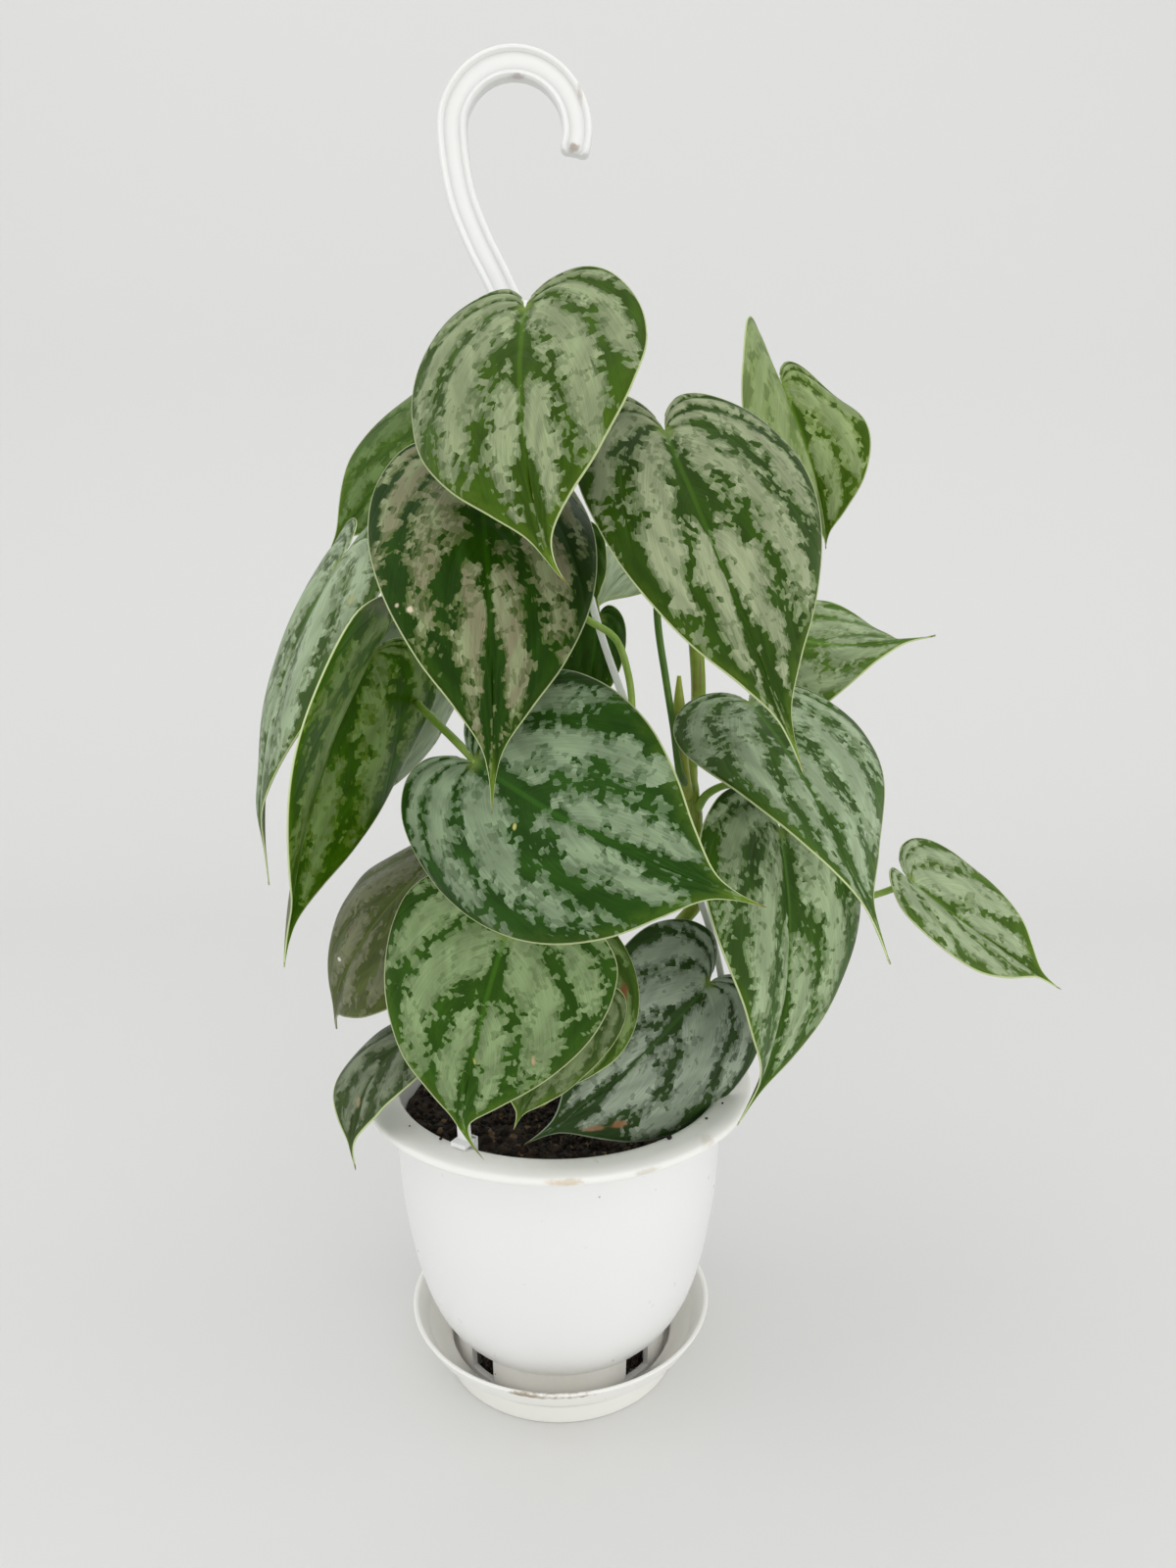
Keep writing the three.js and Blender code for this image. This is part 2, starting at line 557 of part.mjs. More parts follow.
    petiole: [at(52, 8, 250), at(66, 30, 250), at(86, 54, 258), at(97, 56, 273)],
  },
  {
    name: 'leaf_19', vine: 'low', base: at(0, -48.5, 197), tip: at(-5, -51.5, 133), face: at(0.1, -1, -0.05),
    width: [18, 15], fold: [6, 14], arch: 1, bend: 19, lobe: [1, 1], twist: 10, phase: 0.85,
    petiole: [at(3, -7, 155), at(2, -16, 176), at(1, -34, 192)],
  },
  {
    name: 'leaf_20', vine: 'right', base: at(48, 60, 326), tip: at(13, 49, 292), face: at(-0.35, -0.75, 0.6),
    width: [21, 20], fold: [8, 8], arch: 4, bend: 0, lobe: [1, 1], phase: 0.2,
    petiole: [at(51, 9, 292), at(60, 40, 292), at(60, 66, 305), at(54, 69, 318)],
  },
  {
    name: 'leaf_21', vine: 'left', base: at(16, 16, 294), tip: at(11, 12, 254), face: at(0.1, -0.95, 0.2),
    width: [15, 12], fold: [6, 6], arch: 3, bend: 0, lobe: [1, 1], phase: 0.3,
    petiole: [at(-9, 1, 341), at(2, 22, 338), at(11, 29, 318), at(15, 25, 302)],
  },
  {
    name: 'leaf_22', vine: 'left', base: at(9, 14, 325.5), tip: at(16.5, 13, 298.5), face: at(0.2, -0.95, 0.2),
    width: [10, 9], fold: [10, 10], arch: 2, bend: 0, lobe: [1, 1], phase: 0.6,
    petiole: [at(-9, 3, 318), at(-2, 16, 328), at(6, 21, 331)],
  },
];

const LEAF_COLOURS = { left: 0x6f8f63, right: 0x6b8c66, low: 0x66835f };

// Where a leaf's petiole ends: behind the notch, clear of the blade's back
function petioleEnd(leaf) {
  const { centre, up } = bladeFrame(leaf, 0);
  const before = leaf.petiole[leaf.petiole.length - 1];
  const course = new THREE.Vector3().subVectors(centre, before).normalize();
  const lean = Math.sqrt(Math.max(0, 1 - course.dot(up) ** 2));
  return centre.addScaledVector(up, -(BLADE_THICK / 2 + JOINT_GAP + PETIOLE_R * lean));
}

// A vine: one stem and the petioles that grow out of it, in one piece
function vine(name) {
  let solid = toSolid(bar(STEMS[name], STEM_R[name], STEM_SIDES, Math.round(1.5 * STEMS[name].length)));
  for (const leaf of LEAVES.filter((one) => one.vine === name)) {
    const route = [...leaf.petiole, petioleEnd(leaf)];
    solid = solid.add(toSolid(bar(route, PETIOLE_R, PETIOLE_SIDES, Math.round(PETIOLE_STEPS * route.length))));
  }
  return toGeometry(solid);
}

function finish(color, roughness) {
  return new THREE.MeshStandardMaterial({ color, roughness, metalness: 0 });
}

const group = new THREE.Group();

function add(name, geometry, material) {
  const mesh = new THREE.Mesh(geometry, material);
  mesh.name = name;
  group.add(mesh);
}

const whitePlastic = finish(0xf0efea, 0.35);
const stemGreen = finish(0x7d9a45, 0.5);
add('pot', pot(), whitePlastic);
add('saucer', saucer(), whitePlastic);
add('hanger', hanger(), whitePlastic);
add('soil', soil(Object.values(STEMS).map((stem) => stem[0])), finish(0x2a211a, 0.95));
for (const name of Object.keys(STEMS)) {
  add(`vine_${name}`, vine(name), stemGreen);
}
for (const leaf of LEAVES) {
  add(leaf.name, blade(leaf), finish(LEAF_COLOURS[leaf.vine], 0.45));
}

export default group;
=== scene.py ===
"""Look of a silver leaf philodendron in a white hanging pot, with its saucer and three-armed hanger.

Lengths are in millimetres, and add_mesh turns them into metres. The frame is the part's own: +Z up, the
plant's full side towards -Y.
"""

import math
import random
from types import SimpleNamespace

import bpy
from mathutils import Matrix, Quaternion, Vector, noise


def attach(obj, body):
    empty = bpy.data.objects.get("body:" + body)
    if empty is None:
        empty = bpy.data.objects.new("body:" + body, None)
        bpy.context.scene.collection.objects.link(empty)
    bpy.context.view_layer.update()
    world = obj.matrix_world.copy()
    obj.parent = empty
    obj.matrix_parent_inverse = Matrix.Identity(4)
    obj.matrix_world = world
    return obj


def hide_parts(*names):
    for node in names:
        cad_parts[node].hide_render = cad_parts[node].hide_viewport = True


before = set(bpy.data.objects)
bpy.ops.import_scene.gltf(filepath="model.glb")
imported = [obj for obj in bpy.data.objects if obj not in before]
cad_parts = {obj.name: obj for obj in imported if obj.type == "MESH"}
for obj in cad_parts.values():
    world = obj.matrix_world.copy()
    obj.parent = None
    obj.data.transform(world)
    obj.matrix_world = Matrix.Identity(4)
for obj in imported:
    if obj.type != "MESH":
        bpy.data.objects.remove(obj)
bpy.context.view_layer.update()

MM = 0.001

# Camera
CAMERA_PLACE = (12.2, -421.8, 335.8)
CAMERA_PITCH = 13.34
CAMERA_ROLL = -0.34
CAMERA_LENS = 27.05

# Pot and saucer
ROUND_SIDES = 192
RIM_R = 75
RIM_INNER_R = 62.6
RIM_TOP_Z = 121
POT_WALL = 2.2
FOOT_R = 42.4
FOOT_WALL = 2.2
FOOT_Z = 3
SEAM_Z = 18.5
FLOOR_Z = 20.5
SLOT_ANGLES = [math.pi * (0.25 + 0.5 * i) for i in range(4)]
SLOT_WIDTH = 12.5
SLOT_LOW_Z = 8
SLOT_HIGH_Z = 22
SAUCER_BASE_R = 46.6
SAUCER_STEP_Z = 9.4
SAUCER_RIM_R = 60.1
SAUCER_RIM_Z = 23.7
SAUCER_LIP = 4.6
SAUCER_WALL = 2
GAP = 0.35
POT_OUTER = [
    (43.6, SEAM_Z), (46.8, 22), (52, 31), (56.5, 45), (60, 63), (62, 80), (62.8, 98), (63.2, 116),
]

# Soil
SOIL_TOP_Z = 106
SOIL_MOUND = 2
SOIL_ROUGH = 1.6
SOIL_EDGE_R = POT_OUTER[6][0] - POT_WALL - GAP
SOIL_RINGS = 46
SOIL_SIDES = 150
CRUMB_COUNT = 1500
CRUMB_REACH = 57
CRUMB_SIZES = [0.7, 0.9, 1.2, 1.6, 2.2]
CRUMB_SEED = 4
FALLEN_COUNT = 480
FALLEN_R = 37.7
FALLEN_DEPTH = 8
FALLEN_SEED = 9
SPILLED = [(-39.8, -50.9, 0.7), (39.8, -51.2, 1.1), (54, -38, 0.6), (61, -27, 0.5), (63, -20, 0.8),
    (-52, -42, 0.4)]

# Hanger
HUB = Vector((-10, 0, 395))
HUB_R = 8
HUB_HEIGHT = 7
HOOK_R = 20.4
HOOK_CENTRE = Vector((-10.4, 0, 453.5))
HOOK_START_ANGLE = 170
HOOK_TIP_ANGLE = -20
HOOK_ANGLE_STEP = 19
HOOK_BAR = 9.8
HOOK_DEPTH = 8
HOOK_GROOVE = 1.2
HOOK_NOSE = 2
SHAFT_POINTS = [(-11.5, 397), (-17, 409), (-23.5, 422), (-28.5, 436)]
ARM_COUNT = 3
ARM_WIDTH = 4.8
ARM_THICK = 2.6
ARM_FOOT_R = 60.6
CLIP_WIDTH = 6
CLIP_THICK = 1.6
CLIP_REACH = 5
CLIP_DEPTH = 9
ARM_ROUTE = [(0.02, 394), (0.16, 352), (0.38, 290), (0.7, 228), (0.97, 172), (1.03, 145), (1, 122.5)]

# Leaves
BLADE_THICK = 0.5
BLADE_RELIEF = 0.45
MIDRIB_DEPTH = 0.6
MIDRIB_SHARE = 0.1
EDGE_WAVE = 0.9
EDGE_WAVES = 3
RIPPLE = 0.7
CUP = 20
CURL_START = 0.84
HALF_OUTLINE = [
    (0, 0), (-0.07, 0.06), (-0.135, 0.21), (-0.155, 0.44), (-0.115, 0.71), (-0.005, 0.93), (0.14, 1),
    (0.3, 0.965), (0.46, 0.835), (0.62, 0.59), (0.745, 0.305), (0.835, 0.105), (0.91, 0.03), (1, 0),
]
LAST = len(HALF_OUTLINE) - 1
FAN_STATIONS = 6
FAN_END = FAN_STATIONS / LAST
VEIN_BOW = 0.22
SIDE_VEINS = 5
VEIN_SWEEP = 0.36
VEIN_SWEEP_POWER = 1.4
STATION_SPLIT = 7
SHARE_STEPS = 18
PATCH_CELL = 1.7
PATCH_TURN = 38
PATCH_LEVELS = (0.0, 0.2, 0.48)
PATCH_EDGE = 0.03
LEAF_IOR = 1.42
LOW_LEAVES = ("leaf_11", "leaf_12", "leaf_13", "leaf_14", "leaf_19")

# Stems and stalks
STEM_R = {"left": 2.2, "low": 2.2, "right": 2.7}
STEM_FOOT_Z = 70
STALK_R = 1.3
DARK_STALKS = ("leaf_03",)


def at(x, y, z):
    """A place in the shared frame, in millimetres."""
    return Vector((x, y, z))


def clamp(value, low=0.0, high=1.0):
    """The value kept within its limits."""
    return max(low, min(high, value))


LEAVES = []
PLAIN_LEAF = dict(
    bend=0, lobe=(1, 1), twist=0, curl=(0, 0),
    dark=(0.034, 0.082, 0.006), middle=(0.14, 0.195, 0.08), silver=(0.29, 0.35, 0.195),
    margin=(0.62, 0.72, 0.36),
    tip_green=(0.22, 0.36, 0.03), back=(0.235, 0.305, 0.185), tint=(0.3, 0.38, 0.2), tinted=0.0, amount=0.0,
    glow=0.16, rim=0.25, cuff=0.0, left=0.0, marks=(),
)


def add_leaf(number, vine, base, tip, face, **own):
    """One leaf: its stem, its blade from notch to tip, the way its upper side faces, and what sets it apart.

    width, fold and lobe are those of its two halves. amount is how much of it is silver, glow how much
    light comes through. tinted, rim, cuff and left are strengths of leaf_face's coats, and marks are
    stains.
    """
    ends = dict(base=Vector(base), tip=Vector(tip), face=Vector(face))
    LEAVES.append(SimpleNamespace(**{**PLAIN_LEAF, **ends, **own}, name="leaf_" + number, vine=vine))


STEMS = {
    "left": [
        (-8, 4, STEM_FOOT_Z), (-8, 4, 98), (-8, 4, 116), (-5, 6, 160), (-9, 9, 205), (-5, 6, 250),
        (-9, 5, 300), (-9, 1, 345),
    ],
    "low": [(5, -8, STEM_FOOT_Z), (5, -8, 98), (5, -8, 116), (3, -7, 150), (2, -5, 185), (5, -4, 207)],
    "right": [
        (30, 8, STEM_FOOT_Z), (30, 8, 98), (30, 8, 116), (33, 8, 147), (40, 8, 168), (47, 8, 178),
        (54, 8, 188), (53, 8, 215), (50, 8, 241), (53, 8, 264), (51, 8, 300), (51, 10, 335),
    ],
}
SHEATH = [(50, 6, 229), (47, 1, 240), (45.8, -1.5, 254), (45.3, -0.5, 267), (45.3, 1, 275.5)]

add_leaf(
    "01", "left", (-5, -62, 390.5), (4, -106, 313.5), (-0.4, -0.8, 0.45), width=(40, 35), fold=(10, 2),
    arch=9, phase=0.1, bend=-1, lobe=(1.1, 1.1), curl=(4, 0),
    petiole=[(-9, 2, 338), (-5, -12, 356), (-3, -33, 374), (-4, -52, 383)],
    amount=-0.03, dark=(0.038, 0.084, 0.003), silver=(0.295, 0.35, 0.195),
)
add_leaf(
    "02", "low", (-21, -50, 347), (-15, -101, 251), (0.2, -0.85, 0.5), width=(35, 37), fold=(0, 3), arch=15,
    phase=0.45,
    petiole=[(5, -4, 205), (16, -6, 226), (26, -7, 250), (28, -7, 264), (26.5, -7, 278), (22, -7, 290),
        (12, -8, 297), (0, -12, 307), (-12, -22, 325), (-18, -37, 340)],
    amount=-0.12, dark=(0.014, 0.048, 0.001), middle=(0.09, 0.13, 0.035), silver=(0.265, 0.31, 0.165),
    tint=(0.31, 0.27, 0.17), tinted=0.8, rim=0.08,
    marks=[
        ((-37.7, -88.1, 307.4), (1.3, 1.3, 1.3), (0.8, 0.7, 0.52), 1.0),
        ((-41.5, -86.3, 308.4), (0.9, 0.9, 0.9), (0.7, 0.62, 0.45), 0.9),
    ],
)
add_leaf(
    "03", "right", (35.5, -60, 356.5), (73, -98, 261.5), (0.2, -0.9, 0.45), width=(30, 46), fold=(11, 3),
    arch=15, phase=0.7, bend=-6, lobe=(1.1, 1.1), twist=-22,
    petiole=[(51, 8, 231), (46, -2, 240), (43, -5, 258), (40, -5, 276), (37, -6, 296), (36, -16, 322),
        (36, -38, 344)],
    amount=-0.06, dark=(0.026, 0.065, 0.002), silver=(0.315, 0.36, 0.215),
)
add_leaf(
    "04", "right", (83.5, 30, 378), (105, 44, 318.5), (0.4, -0.9, -0.1), width=(29, 29), fold=(42, 10),
    arch=13, phase=0.2, bend=-4, lobe=(1.45, 0.85), twist=50,
    petiole=[(51, 10, 328), (60, 22, 348), (72, 34, 366)],
    dark=(0.055, 0.115, 0.004), middle=(0.19, 0.27, 0.07), silver=(0.32, 0.405, 0.18), glow=0.3, left=0.45,
)
add_leaf(
    "05", "left", (-35, 34, 370), (-88, 36, 315), (-0.3, -0.8, 0.55), width=(32, 30), fold=(4, 10), arch=4,
    phase=0.35, bend=-1, twist=-8,
    petiole=[(-9, 4, 312), (-20, 10, 322), (-32, 30, 334), (-34, 44, 352)],
    amount=-0.05, dark=(0.055, 0.115, 0.012), middle=(0.095, 0.165, 0.03), silver=(0.15, 0.23, 0.075),
    glow=0.25,
)
add_leaf(
    "06", "left", (-73, -10, 316.5), (-99.5, -29, 207), (-0.85, -0.45, 0.3), width=(43, 41), fold=(8, 12),
    arch=11, phase=0.6, twist=11,
    petiole=[(-7, 6, 275), (-24, 8, 292), (-44, 6, 312), (-60, -2, 322)],
    dark=(0.055, 0.11, 0.02), middle=(0.18, 0.24, 0.12), silver=(0.34, 0.43, 0.275),
    marks=[((-63.5, -40.4, 306.6), (2.6, 2.6, 2.6), (0.5, 0.48, 0.2), 0.6)],
)
add_leaf(
    "07", "left", (-58.5, -35, 289), (-91, -48, 184), (0.7, -0.7, -0.15), width=(46, 43), fold=(60, 7),
    arch=2, phase=0.9, bend=-9, lobe=(0.7, 0.7), twist=-7,
    petiole=[(-9, 5, 296), (-25, 8, 308), (-45, 4, 309), (-60, -12, 303), (-66, -26, 295)],
    amount=-0.18, dark=(0.038, 0.11, 0.001), middle=(0.11, 0.2, 0.014), silver=(0.21, 0.315, 0.1),
    back=(0.22, 0.23, 0.15), cuff=0.8, glow=0.25,
)
add_leaf(
    "08", "left", (-39, 14, 281), (-79, 2, 219), (0.65, -0.7, -0.2), width=(30, 29), fold=(9, -6), arch=3,
    phase=0.15, bend=-1,
    petiole=[(-9, 4, 310), (-20, 8, 317), (-34, 18, 312), (-43, 24, 297)],
    amount=0.9, silver=(0.36, 0.44, 0.3), middle=(0.28, 0.35, 0.21),
)
add_leaf(
    "09", "left", (-20.5, -85, 262.5), (59, -128, 232.5), (-0.45, -0.8, 0.4), width=(42, 41), fold=(3, 2),
    arch=6, phase=0.5, bend=-3, lobe=(1.3, 1), twist=4,
    petiole=[(-7, 8, 232), (-18, 12, 235), (-32, 13, 244), (-41, 9, 254.5), (-47, -5, 266), (-43.5, -32, 270),
        (-30, -63, 266)],
    amount=-0.08, dark=(0.02, 0.065, 0.006), middle=(0.105, 0.17, 0.078), silver=(0.245, 0.325, 0.2),
    marks=[((-8.7, -100, 247.1), (0.8, 1, 1.5), (0.65, 0.62, 0.2), 0.9)],
)
add_leaf(
    "10", "low", (-13.5, -79, 206.5), (-31.5, -67, 127), (-0.1, -0.95, -0.25), width=(38, 39), fold=(0, 10),
    arch=3, phase=0.25, bend=-2, lobe=(1.1, 1.1), twist=-9, curl=(9, -3),
    petiole=[(2, -6, 175), (-2, -25, 192), (-8, -50, 205)],
    amount=-0.09, dark=(0.028, 0.082, 0.005), middle=(0.155, 0.235, 0.09), silver=(0.245, 0.335, 0.16),
    marks=[
        ((-5.9, -76, 162.8), (1, 2, 2.6), (0.62, 0.42, 0.26), 0.9),
        ((-24.7, -75.3, 162.6), (0.7, 1, 1.5), (0.6, 0.55, 0.12), 0.9),
    ],
)
add_leaf(
    "11", "low", (-45.5, -8, 208.5), (-86, 2, 138), (-0.75, -0.55, 0.35), width=(41, 37), fold=(3, 10),
    arch=14, phase=0.8, bend=6, twist=-11,
    petiole=[(3, -7, 158), (-12, 0, 184), (-28, 2, 201)],
    amount=-0.2, dark=(0.07, 0.092, 0.02), middle=(0.13, 0.143, 0.07), silver=(0.18, 0.192, 0.105),
    margin=(0.36, 0.4, 0.2), tip_green=(0.2, 0.24, 0.06),
    marks=[
        ((-80.9, -9.9, 171.6), (2.2, 2, 0.9), (0.8, 0.8, 0.74), 1.0),
        ((-76.3, -7.9, 182.8), (1.4, 2, 3), (0.2, 0.11, 0.05), 0.7),
    ],
)
add_leaf(
    "12", "low", (-49.5, -25, 149.5), (-71, -51, 110), (-0.7, -0.4, 0.6), width=(23, 21), fold=(16, 14),
    arch=9, phase=0.05, bend=-1, twist=-25, curl=(4, -1),
    petiole=[(4, -8, 128), (-14, -12, 138), (-34, -18, 143)],
    amount=-0.04, dark=(0.045, 0.07, 0.022), middle=(0.11, 0.14, 0.08), silver=(0.215, 0.25, 0.165),
    tip_green=(0.14, 0.22, 0.06),
    marks=[((-69.5, -42.7, 131.1), (1, 2, 3), (0.45, 0.36, 0.22), 0.8)],
)
add_leaf(
    "13", "low", (11, -60, 177), (-14, -57, 128), (0, -1, -0.1), width=(24, 18), fold=(17, 6), arch=3,
    phase=0.55, bend=-2,
    petiole=[(4, -7, 140), (-9, -22, 160), (-15, -43, 175), (0, -57, 181)],
    dark=(0.055, 0.1, 0.02), middle=(0.12, 0.17, 0.06), silver=(0.2, 0.26, 0.12),
)
add_leaf(
    "14", "right", (55.5, -20, 165.5), (-11, -52, 119), (0.36, -0.93, 0.09), width=(33, 41), fold=(7, 13),
    arch=5, phase=0.65, bend=2, lobe=(1, 0.9), twist=9,
    petiole=[(36, 8, 158), (47, 4, 170), (56, -7, 173)],
    amount=-0.03, dark=(0.03, 0.062, 0.016), middle=(0.145, 0.185, 0.125), silver=(0.34, 0.4, 0.31),
    margin=(0.36, 0.44, 0.3), tip_green=(0.05, 0.11, 0.03),
    marks=[
        ((22.5, -45.8, 123.5), (5, 3, 1.7), (0.38, 0.19, 0.09), 0.85),
        ((13, -48.5, 123.5), (6, 3, 1.5), (0.42, 0.24, 0.13), 0.75),
    ],
)
add_leaf(
    "15", "right", (68, -20, 269), (100, -100, 205), (0.4, -0.5, 0.8), width=(30, 45), fold=(-6, 14), arch=11,
    phase=0.4, bend=-6, lobe=(0.8, 0.8), twist=-45,
    petiole=[(50, 8, 238), (56, 4, 252), (63, -8, 264)],
    amount=-0.09, dark=(0.042, 0.095, 0.012), middle=(0.185, 0.265, 0.13), silver=(0.34, 0.43, 0.275),
)
add_leaf(
    "16", "right", (79, -25, 224), (64.5, -42, 120.5), (0.65, -0.75, 0), width=(47, 43), fold=(26, 19),
    arch=11, phase=0.3, bend=2, lobe=(0.9, 0.9), twist=-17,
    petiole=[(52, 8, 222), (57, 4, 231), (66, -4, 236), (75, -14, 230)],
    amount=-0.08, dark=(0.038, 0.092, 0.008), middle=(0.155, 0.235, 0.09), silver=(0.35, 0.445, 0.26),
)
add_leaf(
    "17", "right", (133, 0, 197.5), (190, -8, 157), (0.37, -0.65, 0.66), width=(30, 29), fold=(42, 15),
    arch=1, phase=0.75, bend=-2, lobe=(0.9, 0.9), twist=17,
    petiole=[(54, 8, 196), (75, 10, 188), (100, 6, 187), (120, 3, 191)],
    amount=0.02, dark=(0.06, 0.12, 0.014), middle=(0.18, 0.25, 0.1), silver=(0.35, 0.43, 0.26),
)
add_leaf(
    "18", "right", (90, 45, 285), (136, -3, 290), (-0.63, -0.55, 0.55), width=(30, 29), fold=(3, -21), arch=2,
    phase=0.95, bend=-5, twist=-45,
    petiole=[(52, 8, 250), (66, 30, 250), (86, 54, 258), (97, 56, 273)],
    amount=-0.05, dark=(0.085, 0.17, 0.02), middle=(0.2, 0.28, 0.11), silver=(0.35, 0.44, 0.25),
)
add_leaf(
    "19", "low", (0, -48.5, 197), (-5, -51.5, 133), (0.1, -1, -0.05), width=(18, 15), fold=(6, 14), arch=1,
    phase=0.85, bend=19, twist=10,
    petiole=[(3, -7, 155), (2, -16, 176), (1, -34, 192)],
    dark=(0.055, 0.115, 0.012), middle=(0.12, 0.19, 0.05), silver=(0.2, 0.29, 0.1),
    marks=[((24.1, -48.6, 174.7), (1.8, 3, 5), (0.28, 0.09, 0.04), 0.85)],
)
add_leaf(
    "20", "right", (48, 60, 326), (13, 49, 292), (-0.35, -0.75, 0.6), width=(21, 20), fold=(8, 8), arch=4,
    phase=0.2,
    petiole=[(51, 9, 292), (60, 40, 292), (60, 66, 305), (54, 69, 318)],
    amount=1.5, silver=(0.44, 0.52, 0.36), middle=(0.36, 0.44, 0.28),
)
add_leaf(
    "21", "left", (16, 16, 294), (11, 12, 254), (0.1, -0.95, 0.2), width=(15, 12), fold=(6, 6), arch=3,
    phase=0.3,
    petiole=[(-9, 1, 341), (2, 22, 338), (11, 29, 318), (15, 25, 302)],
    amount=-1.5, dark=(0.022, 0.065, 0.004),
)
add_leaf(
    "22", "left", (9, 14, 325.5), (16.5, 13, 298.5), (0.2, -0.95, 0.2), width=(10, 9), fold=(10, 10), arch=2,
    phase=0.6,
    petiole=[(-9, 3, 318), (-2, 16, 328), (6, 21, 331)],
    amount=-1.5, dark=(0.022, 0.065, 0.004),
)


def add_mesh(name, points, faces, smooth=True):
    """A mesh object from places in millimetres."""
    mesh = bpy.data.meshes.new(name)
    mesh.from_pydata([Vector(p) * MM for p in points], [], faces)
    mesh.validate()
    mesh.polygons.foreach_set("use_smooth", [smooth] * len(mesh.polygons))
    made = bpy.data.objects.new(name, mesh)
    bpy.context.scene.collection.objects.link(made)
    return made


def curve_points(points, steps):
    """Places along a smooth curve through the given places, evenly by parameter."""
    points = [Vector(p) for p in points]
    made = []
    count = len(points) - 1
    for step in range(steps + 1):
        whole = step / steps * count
        i = min(int(whole), count - 1)
        w = whole - i
        p1, p2 = points[i], points[i + 1]
        p0 = points[i - 1] if i > 0 else p1 * 2 - p2
        p3 = points[i + 2] if i + 2 <= count else p2 * 2 - p1
        dt0 = max((p0 - p1).length ** 0.5, 1e-4)
        dt1 = max((p1 - p2).length ** 0.5, 1e-4)
        dt2 = max((p2 - p3).length ** 0.5, 1e-4)
        t1 = ((p1 - p0) / dt0 - (p2 - p0) / (dt0 + dt1) + (p2 - p1) / dt1) * dt1
        t2 = ((p2 - p1) / dt1 - (p3 - p1) / (dt1 + dt2) + (p3 - p2) / dt2) * dt1
        c2 = -3 * p1 + 3 * p2 - 2 * t1 - t2
        c3 = 2 * p1 - 2 * p2 + t1 + t2
        made.append(p1 + t1 * w + c2 * (w * w) + c3 * (w * w * w))
    return made


def lengths_along(points):
    """How far along the line each of its points lies."""
    made = [0.0]
    for a, b in zip(points, points[1:]):
        made.append(made[-1] + (b - a).length)
    return made


def way_at(points, i):
    """The direction of a line at one of its points."""
    return (points[min(i + 1, len(points) - 1)] - points[max(i - 1, 0)]).normalized()


def bar_faces(rows, ring, flipped=False):
    """Faces of a closed bar whose places lie in rows of one ring each."""
    faces = []
    for i in range(rows - 1):
        for k in range(ring):
            a, b = i * ring + k, i * ring + (k + 1) % ring
            faces.append((a, a + ring, b + ring, b) if flipped else (a, b, b + ring, a + ring))
    near = tuple(range(ring))
    far = tuple(range((rows - 1) * ring, rows * ring))
    return [*faces, near, far[::-1]] if flipped else [*faces, near[::-1], far]


def tube(points, radius, sides):
    """Places and faces of a round bar; radius is a function of the length so far and the length left."""
    lengths = lengths_along(points)
    way = (points[1] - points[0]).normalized()
    side = way.orthogonal().normalized()
    places = []
    for i, point in enumerate(points):
        new = way_at(points, i)
        side = (way.rotation_difference(new) @ side).normalized()
        way = new
        other = way.cross(side)
        r = radius(lengths[i], lengths[-1] - lengths[i])
        for k in range(sides):
            a = 2 * math.pi * k / sides
            places.append(point + (side * math.cos(a) + other * math.sin(a)) * r)
    return places, bar_faces(len(points), sides)


def sweep(line, section, side, nose=0.0):
    """Places and faces of a bar with the given section, whose second direction always lies along side."""
    lengths = lengths_along(line)
    places = []
    for i, point in enumerate(line):
        out = side.cross(way_at(line, i)).normalized()
        left = min(1, (lengths[-1] - lengths[i]) / nose) if nose else 1
        share = 0.5 + 0.5 * math.sqrt(max(0, 1 - (1 - left) ** 2))
        places.extend(point + (out * x + side * y) * share for x, y in section)
    return places, bar_faces(len(line), len(section), flipped=True)


def join(parts):
    """Several (places, faces) as one."""
    places, faces = [], []
    for more, its in parts:
        start = len(places)
        places.extend(more)
        faces.extend(tuple(start + i for i in face) for face in its)
    return places, faces


def rounded(profile, size, steps=4):
    """A profile of (radius, height) points with its corners rounded."""
    made = [profile[0]]
    for before, corner, after in zip(profile, profile[1:], profile[2:]):
        b, c, a = Vector(before), Vector(corner), Vector(after)
        lead = min(size, (b - c).length * 0.45)
        tail = min(size, (a - c).length * 0.45)
        start = c + (b - c).normalized() * lead
        end = c + (a - c).normalized() * tail
        for i in range(steps + 1):
            w = i / steps
            made.append(tuple(start * (1 - w) ** 2 + c * 2 * w * (1 - w) + end * w * w))
    return [*made, profile[-1]]


def turned(profile, sides):
    """Places and faces of a body turned about Z; the profile starts and ends on the axis."""
    places = [(0, 0, profile[0][1]), (0, 0, profile[-1][1])]
    rings = profile[1:-1]
    for r, z in rings:
        for k in range(sides):
            a = 2 * math.pi * k / sides
            places.append((r * math.cos(a), r * math.sin(a), z))
    faces = []
    last = 2 + (len(rings) - 1) * sides
    for k in range(sides):
        n = (k + 1) % sides
        faces += [(0, 2 + n, 2 + k), (1, last + k, last + n)]
        for a in range(2, last, sides):
            faces.append((a + k, a + n, a + sides + n, a + sides + k))
    return places, faces


def box(low, high, angle):
    """Places and faces of a box, turned about Z."""
    places = [
        Matrix.Rotation(angle, 3, "Z") @ Vector((x, y, z))
        for z in (low[2], high[2]) for y in (low[1], high[1]) for x in (low[0], high[0])
    ]
    return places, [(0, 2, 3, 1), (4, 5, 7, 6), (0, 1, 5, 4), (2, 6, 7, 3), (0, 4, 6, 2), (1, 3, 7, 5)]


